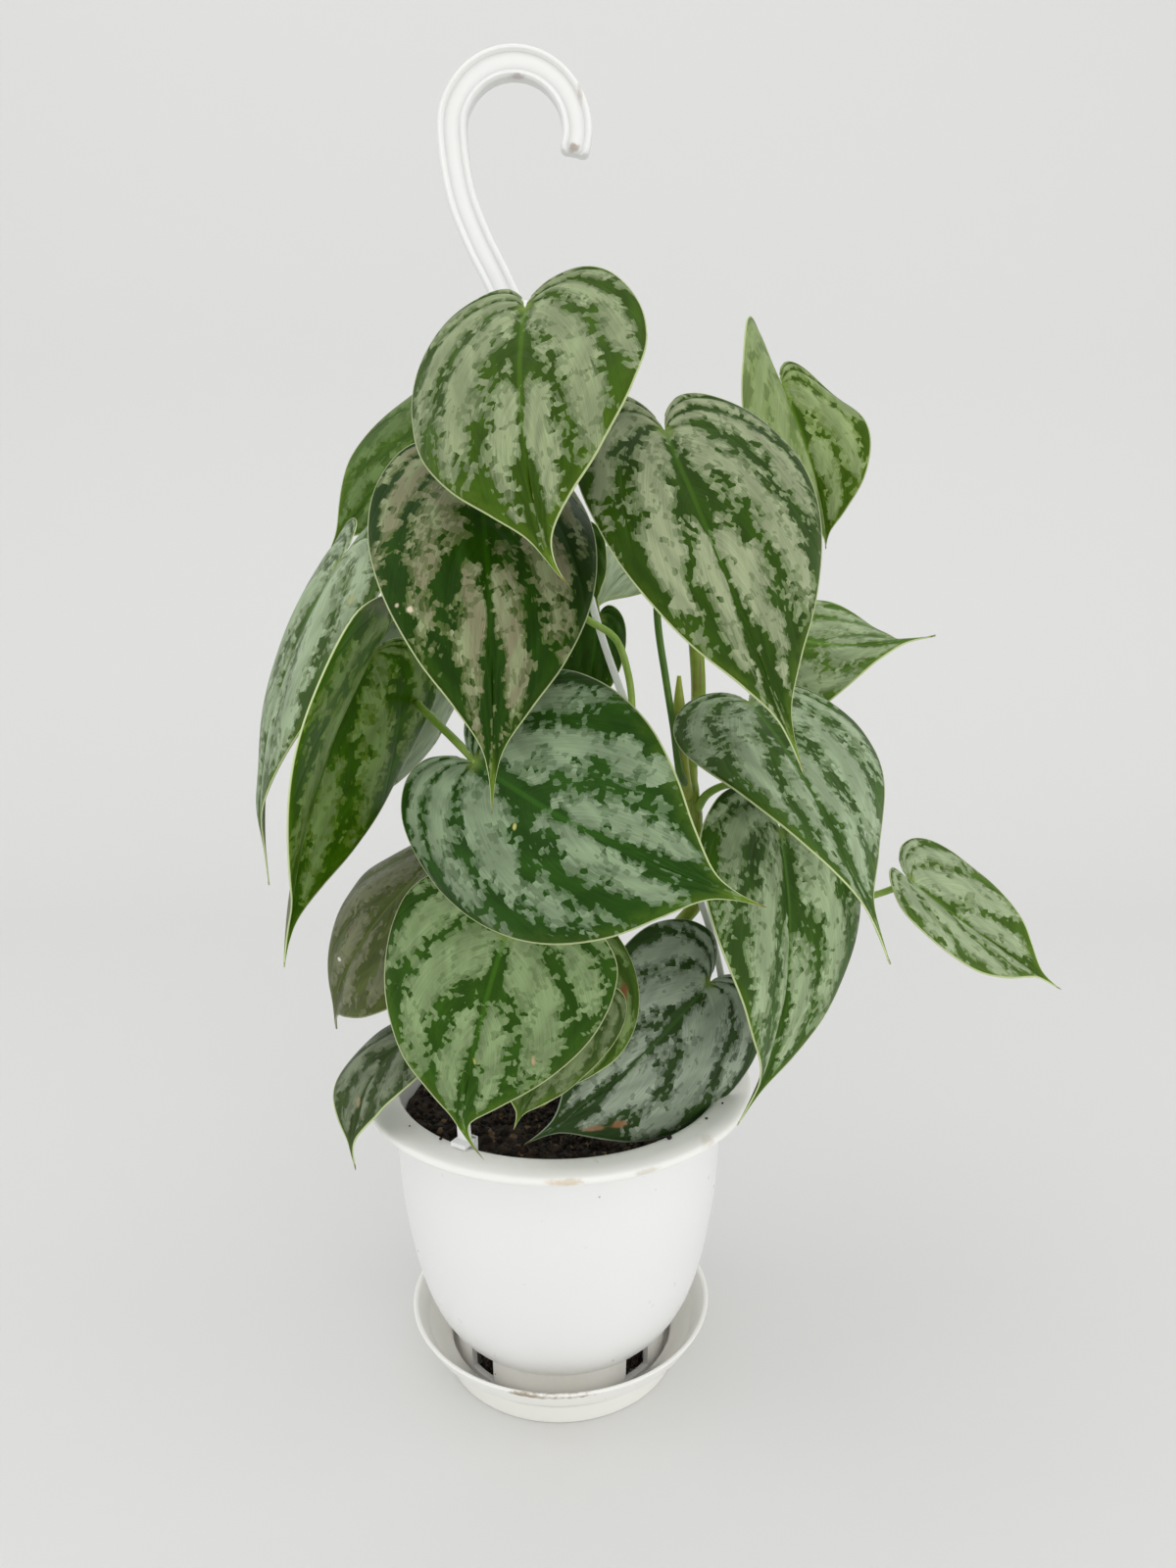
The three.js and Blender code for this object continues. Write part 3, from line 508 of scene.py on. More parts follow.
def cut_away(thing, cutter):
    """Cuts another object's form out of a thing and removes that object."""
    cut = thing.modifiers.new(cutter.name, "BOOLEAN")
    cut.operation = "DIFFERENCE"
    cut.solver = "EXACT"
    cut.object = cutter
    bpy.context.view_layer.update()
    graph = bpy.context.evaluated_depsgraph_get()
    mesh = bpy.data.meshes.new_from_object(thing.evaluated_get(graph))
    thing.modifiers.clear()
    thing.data = mesh
    bpy.data.objects.remove(cutter)


def crease(thing, degrees):
    """Smooth shading with an edge wherever two faces meet more sharply than this."""
    mesh = thing.data
    mesh.polygons.foreach_set("use_smooth", [True] * len(mesh.polygons))
    mesh.set_sharp_from_angle(angle=math.radians(degrees))


def place(thing, materials, slot, *nodes):
    """Gives a thing its materials and hides the CAD nodes it stands for; slot is not used."""
    thing.data.materials.clear()
    for one in materials:
        thing.data.materials.append(one)
    if nodes:
        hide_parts(*nodes)
    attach(thing, "root")


def outline_point(s):
    """Half outline at station s, from 0 in the notch to 1 at the tip, as (along, across)."""
    whole = s * LAST
    i = min(int(whole), LAST - 1)
    w = whole - i
    p0, p1, p2, p3 = (Vector(HALF_OUTLINE[clamp(i + k, 0, LAST)]) for k in (-1, 0, 1, 2))
    v0, v1 = (p2 - p0) * 0.5, (p3 - p1) * 0.5
    return (2 * p1 - 2 * p2 + v0 + v1) * w ** 3 + (-3 * p1 + 3 * p2 - 2 * v0 - v1) * w ** 2 + v0 * w + p1


def flat_place(s, t, lobe):
    """Flat place on a half blade: s picks the side vein, t goes along it from midrib to margin."""
    margin = outline_point(s)
    along = margin.x * lobe if margin.x < 0 else margin.x
    root = ((s - FAN_END) / (1 - FAN_END)) ** 1.2 if s > FAN_END else 0
    bow = VEIN_BOW * t * (1 - t) * margin.y
    return root * (1 - t) + along * t - bow, margin.y * t


def blade_frame(leaf, f):
    """A point on the midrib at share f, the way across and the way up."""
    chord = leaf.tip - leaf.base
    along = chord.normalized()
    face = (leaf.face - along * leaf.face.dot(along)).normalized()
    across = face.cross(along)
    curve = 4 * f * (1 - f)
    turn = 4 - 8 * f
    tip_share = max(0, (f - CURL_START) / (1 - CURL_START)) ** 2
    curl_side, curl_down = leaf.curl
    centre = leaf.base + chord * f + face * (curve * leaf.arch - tip_share * curl_down)
    centre += across * (curve * leaf.bend + tip_share * curl_side)
    tangent = (chord + face * (turn * leaf.arch) + across * (turn * leaf.bend)).normalized()
    wide = face.cross(tangent).normalized()
    wide.rotate(Quaternion(tangent, math.radians(leaf.twist) * (f - 0.2)))
    return centre, wide, tangent.cross(wide)


def blade_place(leaf, side, s, t):
    """Place on a blade's middle surface, its distance from the midrib, and its place on the flat leaf."""
    k = 0 if side < 0 else 1
    f, g = flat_place(s, t, leaf.lobe[k])
    slope = math.radians(leaf.fold[k] - CUP * g)
    reach = leaf.width[k] * g
    swept = s - VEIN_SWEEP * t ** VEIN_SWEEP_POWER * math.sqrt(max(0, 1 - s))
    relief = -BLADE_RELIEF * math.cos(2 * math.pi * SIDE_VEINS * swept) * 4 * t * (1 - t) * min(1, 6 * g)
    groove = -MIDRIB_DEPTH * math.exp(-((t / MIDRIB_SHARE) ** 2)) * clamp(min(8 * f, 4 - 4 * f))
    wave = EDGE_WAVE * math.sin(2 * math.pi * (EDGE_WAVES * s + leaf.phase + 0.3 * k)) * t * t * g
    spot = Vector((f * 5 + 20 * leaf.phase, side * g * 2.4, leaf.phase * 7))
    ripple = RIPPLE * noise.noise(spot) * min(1, 5 * t)
    lift = reach * math.sin(slope) + relief + groove + wave + ripple
    centre, wide, up = blade_frame(leaf, f)
    length = (leaf.tip - leaf.base).length
    away = math.hypot(reach, min(0, f) * length)
    turn = Matrix.Rotation(math.radians(side * PATCH_TURN), 2)
    flat = turn @ Vector((side * reach, f * length)) / 100
    return centre + wide * (side * reach * math.cos(slope)) + up * lift, away, flat


def blade(leaf):
    """A blade's middle surface, with UV maps for its shaders.

    vein holds half and station, and the share of the way out; size the millimetres from midrib and edge;
    flat the place on the flattened leaf.
    """
    last = LAST * STATION_SPLIT
    number, places, marks = {}, [], []

    def vertex(side, i, j):
        if j == 0 and i <= FAN_STATIONS * STATION_SPLIT:
            key = "root"
        elif i == last:
            key = "tip"
        else:
            key = (0 if j == 0 else side, i, j)
        if key not in number:
            t = j / SHARE_STEPS
            point, away, _ = blade_place(leaf, side, i / last, t)
            edge, _, _ = blade_place(leaf, side, i / last, 1)
            number[key] = len(places)
            places.append(point)
            marks.append((away, (edge - point).length if t < 1 else 0))
        return number[key]

    faces, veins = [], []
    for side in (1, -1):
        for i in range(STATION_SPLIT, last):
            for j in range(SHARE_STEPS):
                ring = [(i, j), (i + 1, j), (i + 1, j + 1), (i, j + 1)]
                if side < 0:
                    ring.reverse()
                ids, uvs = [], []
                for a, b in ring:
                    one = vertex(side, a, b)
                    if one not in ids:
                        ids.append(one)
                        vein = (a / last + (2 if side > 0 else 0), b / SHARE_STEPS)
                        uvs.append((vein, blade_place(leaf, side, a / last, b / SHARE_STEPS)[2]))
                if len(ids) > 2:
                    faces.append(tuple(ids))
                    veins.append(uvs)
    made = add_mesh(leaf.name.replace("leaf", "blade"), places, faces)
    mesh = made.data
    vein, size, flat = (mesh.uv_layers.new(name=name) for name in ("vein", "size", "flat"))
    for polygon, uvs in zip(mesh.polygons, veins):
        for loop, (place_in_veins, place_on_flat) in zip(polygon.loop_indices, uvs):
            vein.data[loop].uv = place_in_veins
            flat.data[loop].uv = place_on_flat
            size.data[loop].uv = marks[mesh.loops[loop].vertex_index]
    return made


class Shader:
    """A material's node tree, with short calls for the nodes used here."""

    def __init__(self, name):
        self.material = bpy.data.materials.new(name)
        self.material.use_nodes = True
        self.tree = self.material.node_tree
        self.tree.nodes.clear()

    def node(self, kind, sockets=None, **settings):
        """A node of one kind, with a value or another node's output in each socket named."""
        made = self.tree.nodes.new("ShaderNode" + kind)
        for key, value in settings.items():
            setattr(made, key, value)
        for key, value in (sockets or {}).items():
            self.put(made.inputs[key], value)
        return made

    def put(self, socket, value):
        """Links or sets one socket."""
        if isinstance(value, bpy.types.NodeSocket):
            self.tree.links.new(value, socket)
        elif hasattr(socket.default_value, "__len__") and len(value) == 3 and len(socket.default_value) == 4:
            socket.default_value = (*value, 1)
        else:
            socket.default_value = value

    def math(self, operation, *values):
        return self.node("Math", dict(enumerate(values)), operation=operation).outputs[0]

    def times(self, a, b):
        return self.math("MULTIPLY", a, b)

    def minus(self, a, b):
        return self.math("SUBTRACT", a, b)

    def scaled(self, value, factor, start):
        """start + factor * value."""
        return self.math("MULTIPLY_ADD", value, factor, start)

    def swung(self, value, factor, middle):
        """middle, moved to both sides by a value that averages one half."""
        return self.scaled(self.minus(value, 0.5), factor, middle)

    def step(self, value, low, high):
        """0 below low, 1 above high, smooth between; low may be the larger one."""
        made = self.node(
            "MapRange", {"Value": value, "From Min": low, "From Max": high}, interpolation_type="SMOOTHSTEP",
        )
        return made.outputs["Result"]

    def mix(self, share, a, b, blend="MIX"):
        made = self.node("Mix", {"Factor": share, "A": a, "B": b}, data_type="RGBA", blend_type=blend)
        return made.outputs["Result"]

    def vector(self, x, y, z=0.0):
        return self.node("CombineXYZ", {0: x, 1: y, 2: z}).outputs[0]

    def vector_math(self, operation, *values):
        return self.node("VectorMath", dict(enumerate(values)), operation=operation).outputs

    def parts(self, vector):
        return self.node("SeparateXYZ", {0: vector}).outputs

    def uv(self, name):
        return self.node("UVMap", uv_map=name).outputs[0]

    def spot(self):
        """The place on the object, in metres."""
        return self.node("TexCoord").outputs["Object"]

    def noise(self, vector, scale, detail=2.0):
        return self.node("TexNoise", {"Vector": vector, "Scale": scale, "Detail": detail}).outputs["Fac"]

    def bump(self, height, distance, strength):
        made = self.node("Bump", {"Height": height, "Distance": distance, "Strength": strength})
        return made.outputs["Normal"]

    def coated(self, colour, *coats):
        """A colour under coats, each given as where it lies, its strength and its own colour."""
        for share, strength, coat in coats:
            colour = self.mix(self.times(share, strength), colour, coat)
        return colour

    def stained_and_lit(self, spot, colour, place, size, stain, strength):
        """A colour with a ragged patch round a place: a stain, except one patch of painted light on the pot's
        foot.
        """
        gap = self.vector_math("SUBTRACT", spot, tuple(c * MM for c in place))[0]
        shrunk = self.vector_math("MULTIPLY", gap, tuple(1 / (c * MM) for c in size))[0]
        far = self.vector_math("LENGTH", shrunk)["Value"]
        ragged = self.scaled(self.noise(spot, 420.0, 4.0), 1.1, self.minus(far, 0.55))
        return self.coated(colour, (self.step(ragged, 1.0, 0.35), strength, stain))

    def skin(self, **sockets):
        """A Principled surface; an underscore stands for a space."""
        return self.node("BsdfPrincipled", {
            key.replace("_", " "): value for key, value in sockets.items()
        }).outputs[0]

    def end(self, surface):
        """The finished material."""
        self.node("OutputMaterial", {"Surface": surface})
        return self.material


def dyed(colour, factor):
    """A colour made lighter or darker."""
    return tuple(c * factor for c in colour)


def leaf_map(sh):
    """Half and station, station alone, share of the way out and to the tip, side vein, and distances."""
    u, v, _ = sh.parts(sh.uv("vein"))
    away, edge, _ = sh.parts(sh.uv("size"))
    station = sh.times(u, LAST)
    s = sh.times(sh.math("FRACT", sh.times(u, 0.5)), 2.0)
    left = sh.math("SQRT", sh.minus(1.0, sh.math("MINIMUM", s, 1.0)))
    swept = sh.scaled(sh.times(sh.math("POWER", v, VEIN_SWEEP_POWER), left), -VEIN_SWEEP * LAST, station)
    return u, station, v, s, swept, away, edge


def band_of(sh, vein):
    """0 on a side vein, 1 half way between two."""
    turn = sh.math("FRACT", sh.times(vein, SIDE_VEINS / LAST))
    return sh.minus(1.0, sh.math("ABSOLUTE", sh.scaled(turn, 2.0, -1.0)))


def leaf_end(sh, leaf, colour, height, **sockets):
    """A leaf's surface, which lets some of the light through."""
    skin = sh.skin(Base_Color=colour, Normal=sh.bump(height, 0.0004, 0.7), IOR=LEAF_IOR, **sockets)
    thin = sh.node("BsdfTranslucent", {"Color": sh.mix(0.45, colour, (0.30, 0.50, 0.03))})
    return sh.end(sh.node("MixShader", {"Fac": leaf.glow, 1: skin, 2: thin.outputs[0]}).outputs[0])


def leaf_face(leaf, seed):
    """Upper face: dark green along the veins, silver patches with stepped edges between them."""
    sh = Shader(leaf.name + " face")
    u, station, v, s, swept, away, edge = leaf_map(sh)
    flat = sh.uv("flat")
    sway = sh.node("TexNoise", {"Vector": flat, "Scale": 22.0, "Detail": 3.0}).outputs["Color"]
    swayed = sh.vector_math("MULTIPLY_ADD", sway, (0.03, 0.03, 0.0), flat)[0]
    cells = sh.node(
        "TexVoronoi", {"Vector": swayed, "Scale": 100 / PATCH_CELL, "Randomness": 0.9},
        voronoi_dimensions="2D", distance="CHEBYCHEV",
    )
    chance, _, _ = sh.parts(cells.outputs["Color"])
    seeded = sh.vector_math("ADD", cells.outputs["Position"], (0.0, 0.0, seed * 1.7))[0]
    broad, patchy, wander = sh.noise(seeded, 3.2), sh.noise(seeded, 21.0, 3.0), sh.noise(seeded, 9.0)

    # How silver each cell is: most between two veins, least along midrib, edge and tip
    between = band_of(sh, sh.swung(wander, 1.8, swept))
    fill = sh.scaled(between, 1.3, -0.18 + leaf.amount)
    for value, factor in ((broad, 1.3), (patchy, 2.4), (chance, 0.6)):
        fill = sh.swung(value, factor, fill)
    for value, low, high, loss in (
        (between, 0.86, 1.0, 0.35), (v, 0.74, 1.0, 0.65), (v, 0.14, 0.02, 0.8), (s, 0.76, 0.92, 0.9),
    ):
        fill = sh.minus(fill, sh.times(sh.step(value, low, high), loss))
    low, mid, high = (sh.step(fill, level, level + PATCH_EDGE) for level in PATCH_LEVELS)

    threads = sh.noise(sh.vector(sh.times(swept, 15.0), sh.times(v, 1.6)), 2.2, 3.0)
    cloud = sh.noise(sh.vector(sh.scaled(station, 0.5, seed * 7.0), sh.times(v, 4.0)), 1.3, 3.0)
    dark = sh.mix(sh.step(cloud, 0.35, 0.75), leaf.dark, dyed(leaf.dark, 1.7))
    middle = sh.mix(sh.step(chance, 0.3, 0.8), leaf.middle, dyed(leaf.middle, 1.35))
    silver = sh.mix(sh.step(cloud, 0.35, 0.65), dyed(leaf.silver, 1.4), dyed(leaf.silver, 0.98))
    silver = sh.coated(silver, (sh.step(cloud, 0.3, 0.7), leaf.tinted, leaf.tint))
    dim = sh.mix(0.45, middle, silver)
    colour = sh.mix(high, sh.mix(mid, sh.mix(low, dark, middle), dim), silver)

    # Coats: sheen and turned-up pale edge of the left half, threads along the veins, lit edge, midrib,
    # joint with the stalk, green tip, pale rim and dry point
    left_half = sh.math("LESS_THAN", u, 1.5)
    cuff = sh.times(sh.step(v, 0.5, 0.58), sh.times(sh.step(s, 0.42, 0.34), leaf.cuff))
    colour = sh.coated(colour, (left_half, leaf.left, dyed(leaf.silver, 1.25)), (left_half, cuff, leaf.back))
    fine = sh.mix(sh.step(threads, 0.3, 0.7), (0.76, 0.79, 0.72), (1.08, 1.07, 1.09))
    lit = sh.times(sh.step(sh.scaled(patchy, 9.0, edge), 9.5, 4.0), sh.step(s, 0.35, 0.85))
    rib = sh.times(sh.step(away, 1.1, 0.35), sh.step(s, 0.99, 0.5))
    joint = sh.times(sh.step(away, 4.5, 0.8), sh.step(s, 0.5, 0.46))
    colour = sh.coated(
        sh.mix(1.0, colour, fine, "MULTIPLY"),
        (lit, leaf.rim, leaf.tip_green), (rib, 0.55, dyed(leaf.dark, 2.6)), (joint, 0.7, (0.25, 0.36, 0.08)),
        (sh.step(s, 0.90, 0.99), 0.85, leaf.tip_green),
        (sh.step(sh.scaled(cloud, 0.3, edge), 0.78, 0.5), 1.0, leaf.margin),
        (sh.step(s, 0.965, 0.995), 0.7, (0.30, 0.17, 0.05)),
    )
    for mark in leaf.marks:
        colour = sh.stained_and_lit(sh.spot(), colour, *mark)

    furrow = sh.times(sh.step(band_of(sh, swept), 0.14, 0.0), -0.5)
    height = sh.math("ADD", sh.times(threads, 0.35), furrow)
    rough = sh.scaled(high, 0.08, 0.32)
    return leaf_end(sh, leaf, colour, height, Roughness=rough, Specular_IOR_Level=0.13)


def leaf_back(leaf, seed):
    """Lower face: paler and duller, with raised veins."""
    sh = Shader(leaf.name + " back")
    _, station, v, s, swept, away, edge = leaf_map(sh)
    cloud = sh.noise(sh.vector(sh.scaled(station, 0.8, seed), sh.times(v, 4.0)), 1.5, 4.0)
    threads = sh.noise(sh.vector(sh.times(station, 9.0), sh.times(v, 1.3)), 2.2, 3.0)
    vein = sh.times(sh.step(band_of(sh, swept), 0.12, 0.0), sh.step(v, 1.0, 0.6))
    rib = sh.times(sh.step(away, 1.6, 0.8), sh.step(s, 0.99, 0.6))
    colour = sh.coated(
        sh.mix(sh.step(cloud, 0.4, 0.62), leaf.back, dyed(leaf.back, 0.72)),
        (threads, 0.4, dyed(leaf.back, 1.25)), (vein, 0.5, (0.30, 0.40, 0.20)),
        (rib, 0.8, (0.32, 0.43, 0.17)),
        (sh.step(s, 0.90, 0.99), 0.85, leaf.tip_green), (sh.step(edge, 0.7, 0.45), 1.0, leaf.margin),
    )
    height = sh.math("ADD", sh.times(threads, 0.3), sh.math("ADD", vein, rib))
    return leaf_end(sh, leaf, colour, height, Roughness=0.5)


def leaf_rim(leaf):
    """The thin pale edge between the two faces."""
    sh = Shader(leaf.name + " rim")
    return sh.end(sh.skin(Base_Color=leaf.margin, Roughness=0.45))


def stem_skin(name, low, high, streak, streaked):
    """Green skin of two blended greens, with long streaks."""
    sh = Shader(name)
    spot = sh.spot()
    x, y, z = sh.parts(spot)
    lines = sh.noise(sh.vector(sh.times(x, 900.0), sh.times(y, 900.0), sh.times(z, 60.0)), 1.0, 3.0)
    colour = sh.mix(sh.step(sh.noise(spot, 70.0, 3.0), 0.35, 0.65), low, high)
    colour = sh.coated(colour, (sh.step(lines, 0.55, 0.7), streaked, streak))
    return sh.end(sh.skin(
        Base_Color=colour, Roughness=0.38, Normal=sh.bump(lines, 0.0003, 0.5), IOR=LEAF_IOR,
        Subsurface_Weight=0.12, Subsurface_Radius=(0.3, 0.6, 0.1), Subsurface_Scale=0.002,
    ))


def white_plastic(name, colour, upper_colour, upper_low, upper_high, stains, groove=0):
    """Glossy white plastic with dirt, a second colour above a height, and painted shade darkening a groove of
    that half width.
    """
    sh = Shader(name)
    spot = sh.spot()
    _, y, z = sh.parts(spot)
    share = sh.times(sh.step(z, upper_low * MM, upper_high * MM),
        sh.scaled(sh.noise(spot, 45.0, 4.0), 0.6, 0.6))
    tint = sh.mix(share, colour, upper_colour)
    if groove:
        # Painted shade: above the hub, the bar within the groove's half width of its middle is darkened.
        inside = sh.step(sh.math("ABSOLUTE", y), groove * MM, groove * 0.8 * MM)
        groove_shade = sh.times(inside, sh.step(z, HUB.z * MM + 0.005, HUB.z * MM + 0.015))
        tint = sh.coated(tint, (groove_shade, 0.8, dyed(colour, 0.8)))
    for stain in stains:
        tint = sh.stained_and_lit(spot, tint, *stain)
    specks = sh.node("TexVoronoi", {"Vector": spot, "Scale": 200.0})
    chance, other, _ = sh.parts(specks.outputs["Color"])
    ragged = sh.scaled(sh.noise(spot, 2500.0), 0.12, specks.outputs["Distance"])
    dot = sh.times(sh.math("LESS_THAN", ragged, sh.scaled(other, 0.07, 0.08)),
        sh.math("LESS_THAN", chance, 0.07))
    tint = sh.coated(tint, (dot, 0.8, (0.16, 0.12, 0.08)))
    return sh.end(sh.skin(
        Base_Color=tint, Roughness=sh.scaled(sh.noise(spot, 160.0, 3.0), 0.12, 0.24),
        Normal=sh.bump(sh.noise(spot, 90.0), 0.0004, 0.25), IOR=1.5,
        Subsurface_Weight=0.15, Subsurface_Radius=(1.0, 0.95, 0.85), Subsurface_Scale=0.003,
    ))


def dark_soil(name):
    """Dark potting soil with brown crumbs and a few pale grains."""
    sh = Shader(name)
    spot = sh.spot()
    grains = sh.node("TexVoronoi", {"Vector": spot, "Scale": 420.0})
    chance, other, _ = sh.parts(grains.outputs["Color"])
    colour = sh.mix(sh.step(chance, 0.2, 0.9), (0.012, 0.008, 0.006), (0.055, 0.034, 0.020))
    colour = sh.mix(sh.math("GREATER_THAN", other, 0.93), colour, (0.20, 0.13, 0.07))
    height = sh.minus(sh.noise(spot, 700.0, 5.0), grains.outputs["Distance"])
    return sh.end(sh.skin(Base_Color=colour, Roughness=0.92, Normal=sh.bump(height, 0.0012, 1.0)))


# Materials of pot, soil and stems; each stain, and the one patch of painted light, is its place, its size,
# its colour and its strength
# From 112 mm up, the pot's lip has a real cream tint and is also made lighter than the body, as painted light
# on the lip under the leaves.
pot_white = white_plastic("pot white", (0.90, 0.90, 0.895), (0.94, 0.935, 0.90), 112, 117, [
    ((4, -74.5, 118.6), (8, 4, 1.7), (0.64, 0.50, 0.32), 0.6),
    ((31, -68, 118.5), (7, 5, 1.4), (0.58, 0.53, 0.43), 0.5),
    ((52, -50, 119), (5, 5, 2.5), (0.62, 0.57, 0.47), 0.5),
    # Not a stain: a lighter cream round the foot. It is a real cream tint, made lighter than the body as
    # painted light on the shaded foot.
    ((0, 0, 8), (120, 120, 22), (0.97, 0.95, 0.89), 0.9),
])
saucer_white = white_plastic("saucer white", (0.92, 0.915, 0.865), (0.93, 0.925, 0.885), 0, 30, [
    ((-6, -58.2, 22.6), (26, 2.2, 1.7), (0.25, 0.18, 0.09), 0.85),
    ((0, -51, 13), (26, 6, 4), (0.50, 0.43, 0.31), 0.5),
])
hanger_white = white_plastic("hanger white", (0.92, 0.925, 0.925), (0.88, 0.88, 0.865), 380, 480, [
    ((8.6, -3.8, 448.3), (2.8, 2.5, 2.2), (0.30, 0.22, 0.15), 0.7),
    ((10.9, -4, 464), (1.3, 2, 5), (0.50, 0.42, 0.34), 0.5),
    ((-9.4, -3, 468.8), (3.4, 3, 1.5), (0.42, 0.34, 0.36), 0.6),
], groove=3.2)
soil_dark = dark_soil("soil dark")
stem_green = stem_skin("stem green", (0.20, 0.29, 0.03), (0.34, 0.43, 0.07), (0.19, 0.12, 0.07), 0.7)
stalk_green = stem_skin("stalk green", (0.23, 0.39, 0.045), (0.34, 0.50, 0.10), (0.17, 0.27, 0.04), 0.3)
sheath_olive = stem_skin("sheath olive", (0.26, 0.33, 0.035), (0.38, 0.44, 0.07), (0.20, 0.25, 0.03), 0.5)
stalk_dark = stem_skin("stalk dark", (0.055, 0.140, 0.012), (0.10, 0.21, 0.02), (0.04, 0.09, 0.01), 0.4)

for order, leaf in enumerate(LEAVES, 1):
    thing = blade(leaf)
    slot = "leaf_low" if leaf.name in LOW_LEAVES else "leaf"
    place(thing, [leaf_face(leaf, order), leaf_back(leaf, order), leaf_rim(leaf)], slot, leaf.name)
    thick = thing.modifiers.new("thickness", "SOLIDIFY")
    thick.thickness = BLADE_THICK * MM
    thick.offset = 0
    thick.material_offset = 1
    thick.material_offset_rim = 2


# Stems and stalks
def stalk_radius(so_far, left):
    """A stalk is thick where it leaves the stem and a little thicker again where it meets its blade."""
    return STALK_R + 0.9 * math.exp(-so_far / 9) + 0.25 * math.exp(-((left / 5) ** 2))


def stem_radius(name, joints):
    """A stem's radius, swollen where its stalks leave it and narrower towards its top."""
    def radius(so_far, left):
        swell = sum(math.exp(-(((so_far - joint) / 3.2) ** 2)) for joint in joints)
        return STEM_R[name] * min(1, 0.62 + left / 60) + 0.5 * min(1, swell)
    return radius


def sheath_radius(so_far, left):
    """A sheath swells from its foot and ends in a point."""
    return min(2.7, 0.7 + left * 0.14) * min(1, 0.7 + so_far / 40)


def nearest_length(points, spot):
    """How far along the points the one nearest to a spot lies."""
    return min(zip(points[:-1], lengths_along(points)), key=lambda pair: (pair[0] - Vector(spot)).length)[1]


for name, route in STEMS.items():
    grown = [leaf for leaf in LEAVES if leaf.vine == name]
    line = curve_points(route, 16 * len(route))
    joints = [nearest_length(line, leaf.petiole[0]) for leaf in grown]
    stem = add_mesh("stem_" + name, *tube(line, stem_radius(name, joints), 20))
    place(stem, [stem_green], "stem", "vine_" + name)
    for leaf in grown:
        centre, _, up = blade_frame(leaf, 0)
        line = curve_points([*leaf.petiole, centre - up * 0.9], 12 * len(leaf.petiole))
        stalk = add_mesh(leaf.name.replace("leaf", "stalk"), *tube(line, stalk_radius, 14))
        place(stalk, [stalk_dark if leaf.name in DARK_STALKS else stalk_green], "stem")

place(add_mesh("sheath_right", *tube(curve_points(SHEATH, 40), sheath_radius, 16)), [sheath_olive], "stem")


# Pot, with its four drain slots, and saucer
def pot_profile():
    """The pot's section from the middle of its underside, round the rim, to the middle of its floor."""
    wall = [(p.x, p.y) for p in curve_points([(r, z, 0) for r, z in POT_OUTER], 42)]
    inner = [(r - POT_WALL, z) for r, z in reversed(wall[4:])]
    foot = [
        (0, FLOOR_Z - POT_WALL), (FOOT_R - FOOT_WALL, FLOOR_Z - POT_WALL), (FOOT_R - FOOT_WALL, FOOT_Z),
        (FOOT_R, FOOT_Z), (FOOT_R + 0.4, SEAM_Z - 0.4),
    ]
    lip = [
        (RIM_R - 9, RIM_TOP_Z - 4.2), (RIM_R - 1.6, RIM_TOP_Z - 4.6), (RIM_R, RIM_TOP_Z - 3.4),
        (RIM_R - 0.3, RIM_TOP_Z - 1), (RIM_R - 4, RIM_TOP_Z), (RIM_INNER_R + 1.6, RIM_TOP_Z - 0.2),
        (RIM_INNER_R - 0.6, RIM_TOP_Z - 1.2),
    ]
    return [
        *rounded([*foot, wall[0]], 0.6)[:-1], *wall[:-1], *rounded([wall[-1], *lip, inner[0]], 1.6),
        *inner[1:], (POT_OUTER[0][0] - POT_WALL, FLOOR_Z), (0, FLOOR_Z),
    ]


def saucer_profile():
    """The saucer's section from the middle of its underside, round the rim, to the middle of its floor."""
    step_r = SAUCER_RIM_R - SAUCER_LIP
    inner_r = SAUCER_BASE_R - SAUCER_WALL
    top_z = FOOT_Z - GAP
    return rounded([
        (0, 0), (SAUCER_BASE_R, 0), (SAUCER_BASE_R + 1, 8), (SAUCER_BASE_R + 2.6, SAUCER_STEP_Z),
        (step_r, 15.5), (SAUCER_RIM_R - 0.4, SAUCER_RIM_Z - 1), (SAUCER_RIM_R - 0.2, SAUCER_RIM_Z),
        (SAUCER_RIM_R - 1.9, SAUCER_RIM_Z - 0.2), (step_r - SAUCER_WALL, 16.4), (SAUCER_BASE_R + 0.6, 11),
        (inner_r, SAUCER_STEP_Z), (inner_r - 0.6, top_z), (0, top_z),
    ], 1.0)


pot = add_mesh("pot_body", *turned(pot_profile(), ROUND_SIDES))
slot_low = (FOOT_R - 7, -SLOT_WIDTH / 2, SLOT_LOW_Z)
slot_high = (FOOT_R + 11, SLOT_WIDTH / 2, SLOT_HIGH_Z)
slots = join([box(slot_low, slot_high, angle) for angle in SLOT_ANGLES])
cut_away(pot, add_mesh("slots", *slots, smooth=False))
crease(pot, 38)
place(pot, [pot_white], "pot_plastic", "pot")

saucer = add_mesh("saucer_body", *turned(saucer_profile(), ROUND_SIDES))
crease(saucer, 50)
place(saucer, [saucer_white], "pot_plastic", "saucer")


# Hanger
def hook_section():
    """The hook bar's section as (across the arch, front to back), with a groove in front and at the back."""
    a, b = HOOK_BAR / 2, HOOK_DEPTH / 2
    quarter = [
        (a, 0), (a * 0.99, b * 0.5), (a * 0.93, b * 0.85), (a * 0.8, b), (a * 0.68, b * 0.98),
        (a * 0.6, b * 0.84),
        (a * 0.5, b - HOOK_GROOVE * 1.1), (a * 0.36, b - HOOK_GROOVE * 0.9), (0, b - HOOK_GROOVE * 0.55),
    ]
    upper = [*quarter, *[(-x, y) for x, y in reversed(quarter[:-1])]]
    return [*upper, *[(x, -y) for x, y in reversed(upper[1:-1])]]


